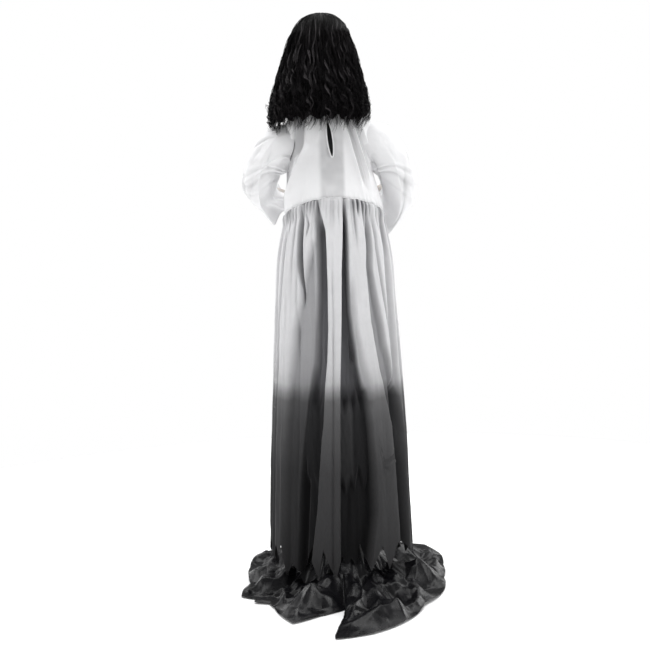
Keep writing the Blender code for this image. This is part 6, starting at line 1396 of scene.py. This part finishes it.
def make_nail(name, body, lift, tip, before, size):
    run = tip - before
    run /= np.linalg.norm(run)
    across = np.cross(run, lift)
    across /= np.linalg.norm(across)
    top = np.cross(across, run)
    u, v = np.linspace(-1, 1, 13)[None, :], np.linspace(0, 1, 15)[:, None]
    arch = np.cos(u * NAIL_CURVE) - 1
    rounded = 0.25 * (1 - u ** 2) * step_up(v, 0.6, 1.0)
    points = (
        tip - run * NAIL_BACK + run[None, None] * ((v + rounded) * NAIL_LENGTH)[..., None]
        + across * (np.sin(u * NAIL_CURVE) * size * 0.80 * (0.92 + 0.08 * v))[..., None]
        + top * (size * 0.86 + arch * size * 0.75 - 0.0016 * v)[..., None]
    )
    nail = cloth_piece(name, points, nail_grey, body, wrap=False, size=(0.01, 0.012))
    nail.modifiers.new("thickness", "SOLIDIFY").thickness = NAIL_THICKNESS


def make_hand(side, name):
    elbow = np.array(ELBOW) * (side, 1, 1)
    wrist = elbow + np.array(ELBOW_TO_WRIST) * (side, 1, 1)
    forward = wrist - elbow
    forward /= np.linalg.norm(forward)
    right = np.cross(forward, (0, 0, 1)) * -1
    right /= np.linalg.norm(right)
    lift = np.cross(forward, right)
    wrist = wrist + forward * WRIST_GAP
    shapes, nails = hand_shapes(side, elbow, wrist, forward, right, lift)
    hand = joined_skin(f"ghost_hand_{name}", shapes)
    hand.data.materials.append(pale_skin.material)
    places = np.array([v.co for v in hand.data.vertices])
    scale, seed, dark = SKIN_CREASES
    creases = np.clip(smooth_noise(places * scale, seed), 0, 1) * dark
    made = hand.data.attributes.new("shade", "FLOAT", "POINT")
    made.data.foreach_set("value", creases.astype(np.float32))
    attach(hand, f"arm_{name}")
    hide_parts(f"hand_{name}", f"forearm_{name}")
    for index, nail in enumerate(nails):
        make_nail(f"nail_{name}_{index + 1}", f"arm_{name}", lift, *nail)


# ---------------------------------------------------------------- what is kept of the solids

def eye_finish(side):
    made = Finish("glass_eye", roughness=0.06, specular_ior_level=0.6, coat_weight=0.6, coat_roughness=0.03)
    centre = (side * EYE_PLACE[0], EYE_PLACE[1], EYE_PLACE[2])
    moved = made.node("VectorMath", {0: made.place, 1: centre}, operation="SUBTRACT").outputs[0]
    split = made.node("SeparateXYZ", {0: moved})
    out = made.node("VectorMath", {
        0: made.node("CombineXYZ", {"X": split.outputs[0], "Z": split.outputs[2]}).outputs[0],
    }, operation="LENGTH").outputs["Value"]
    front = made.math("LESS_THAN", split.outputs[1], -0.004)
    veins = made.noise(420.0, 3.0, 0.7, distortion=1.2)
    white = made.ramp(veins, ((0.42, (0.74, 0.72, 0.69)), (0.78, (0.60, 0.50, 0.48))))
    fibres = made.noise(1.0, 2.0, 0.6, made.stretched((900, 300, 900), moved))
    share = made.times(out, 100.0)
    iris = made.ramp(share, (
        (0.0, 0.001), (0.25, 0.001), (0.275, (0.10, 0.12, 0.13)), (0.48, (0.17, 0.20, 0.21)),
        (0.56, (0.03, 0.035, 0.04)),
    ))
    iris = made.mix(made.times(fibres, 0.4), iris, (0.02, 0.025, 0.03))
    inside = made.times(made.math("LESS_THAN", share, 0.58), front)
    return made.set(base_color=made.mix(inside, white, iris))


nail_grey = plastic_finish("painted_nail", (0.30, 0.26, 0.25), 0.28, 600.0)
black_plastic = plastic_finish("black_abs", (0.014, 0.014, 0.016), 0.52)
SLOT_FINISHES = {
    "black_steel": metal_finish("painted_steel", (0.016, 0.016, 0.018), 0.40, brushed=False, painted=True),
    "black_plastic": black_plastic,
    "grey_plastic": plastic_finish("grey_abs", (0.16, 0.16, 0.17), 0.50),
    "black_rubber": plastic_finish("black_rubber", (0.010, 0.010, 0.010), 0.82, 800.0, 0.00015),
    "gear_nylon": plastic_finish("gear_nylon", (0.66, 0.64, 0.57), 0.42),
    "motor_steel": metal_finish("motor_can", (0.55, 0.56, 0.58), 0.30),
    "spring_steel": metal_finish("spring_wire", (0.62, 0.62, 0.64), 0.22, brushed=False),
    "green_board": plastic_finish("solder_mask", (0.012, 0.10, 0.035), 0.35, 300.0),
    "red_plastic": plastic_finish("red_abs", (0.42, 0.012, 0.012), 0.25, 900.0),
    "cell_wrap": plastic_finish("cell_wrap", (0.09, 0.10, 0.13), 0.30, 500.0),
    "pale_skin": pale_skin,
}


def make_spring(coils=4, wire=0.0004):
    low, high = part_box("button_spring")
    low, high = np.array(low), np.array(high)
    middle = (low + high) / 2
    radius = (high[0] - low[0]) / 2 - wire
    t = np.linspace(0, 1, 24 * coils)
    line = stack(
        middle[0] + radius * np.cos(TAU * coils * t), low[1] + wire + (high[1] - low[1] - 2 * wire) * t,
        middle[2] + radius * np.sin(TAU * coils * t),
    )[None]
    finish = SLOT_FINISHES["spring_steel"]
    spring = tubes("coil_spring", line, wire, finish, None, sides=8)
    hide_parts("button_spring")
    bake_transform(spring)


def finish_solids():
    for part in frame["record"]["subparts"]:
        item = frame["nodes"][part["node"]]
        if item.hide_render:
            continue
        if part["material_slot"] == "eye":
            made = eye_finish(1 if part["node"].endswith("left") else -1)
        else:
            made = SLOT_FINISHES[part["material_slot"]]
        item.data.materials.clear()
        item.data.materials.append(made.material)


# ---------------------------------------------------------------- studio

def make_studio():
    world = bpy.data.worlds.new("studio")
    bpy.context.scene.world = world
    world.use_nodes = True
    tree = world.node_tree
    backdrop, seen = tree.nodes["Background"], tree.nodes.new("ShaderNodeLightPath")
    level = tree.nodes.new("ShaderNodeMapRange")
    level.inputs["To Min"].default_value = AMBIENT
    level.inputs["To Max"].default_value = 1.0
    tree.links.new(seen.outputs["Is Camera Ray"], level.inputs["Value"])
    tree.links.new(level.outputs[0], backdrop.inputs["Strength"])
    backdrop.inputs["Color"].default_value = (1, 1, 1, 1)
    around = TAU * np.arange(FLOOR_SIDES) / FLOOR_SIDES
    rim = stack(np.cos(around) * FLOOR_RADIUS, np.sin(around) * FLOOR_RADIUS, 0)
    faces = [(0, 1 + i, 1 + (i + 1) % FLOOR_SIDES) for i in range(FLOOR_SIDES)]
    floor = mesh_piece(
        "floor", np.vstack((np.zeros((1, 3)), rim)), faces,
        Finish("studio_floor", base_color=(0.94, 0.94, 0.94), roughness=1.0, specular_ior_level=0.0),
    )
    floor.location.z = FLOOR_HEIGHT
    for name, place, aim, power, wide, high in LAMPS:
        lamp = bpy.data.lights.new(name, "AREA")
        lamp.shape = "RECTANGLE"
        lamp.energy, lamp.size, lamp.size_y = power, wide, high
        item = bpy.data.objects.new(name, lamp)
        bpy.context.scene.collection.objects.link(item)
        item.location = place
        item.rotation_euler = (Vector(aim) - Vector(place)).to_track_quat("-Z", "Y").to_euler()
    bpy.context.scene.view_settings.view_transform = "Standard"


def make_camera():
    data = bpy.data.cameras.new("camera")
    data.sensor_width = SENSOR
    data.lens = SENSOR * FOCAL_WIDTHS
    camera = bpy.data.objects.new("camera", data)
    bpy.context.scene.collection.objects.link(camera)
    pitch, roll = math.radians(CAMERA_PITCH), math.radians(CAMERA_ROLL)
    forward = Vector((0, -math.cos(pitch), -math.sin(pitch)))
    turned = forward.to_track_quat("-Z", "Y").to_matrix() @ Matrix.Rotation(roll, 3, "Z")
    camera.matrix_world = Matrix.Translation(CAMERA_PLACE) @ turned.to_4x4()
    bpy.context.scene.camera = camera


make_camera()
make_studio()
make_skirt()
make_bodice()
make_bindings()
for side_of, side_name in SIDES:
    make_sleeve(side_of, side_name)
make_train()
make_cap()
make_hair()
make_head()
for side_of, side_name in SIDES:
    make_hand(side_of, side_name)
make_spring()
finish_solids()
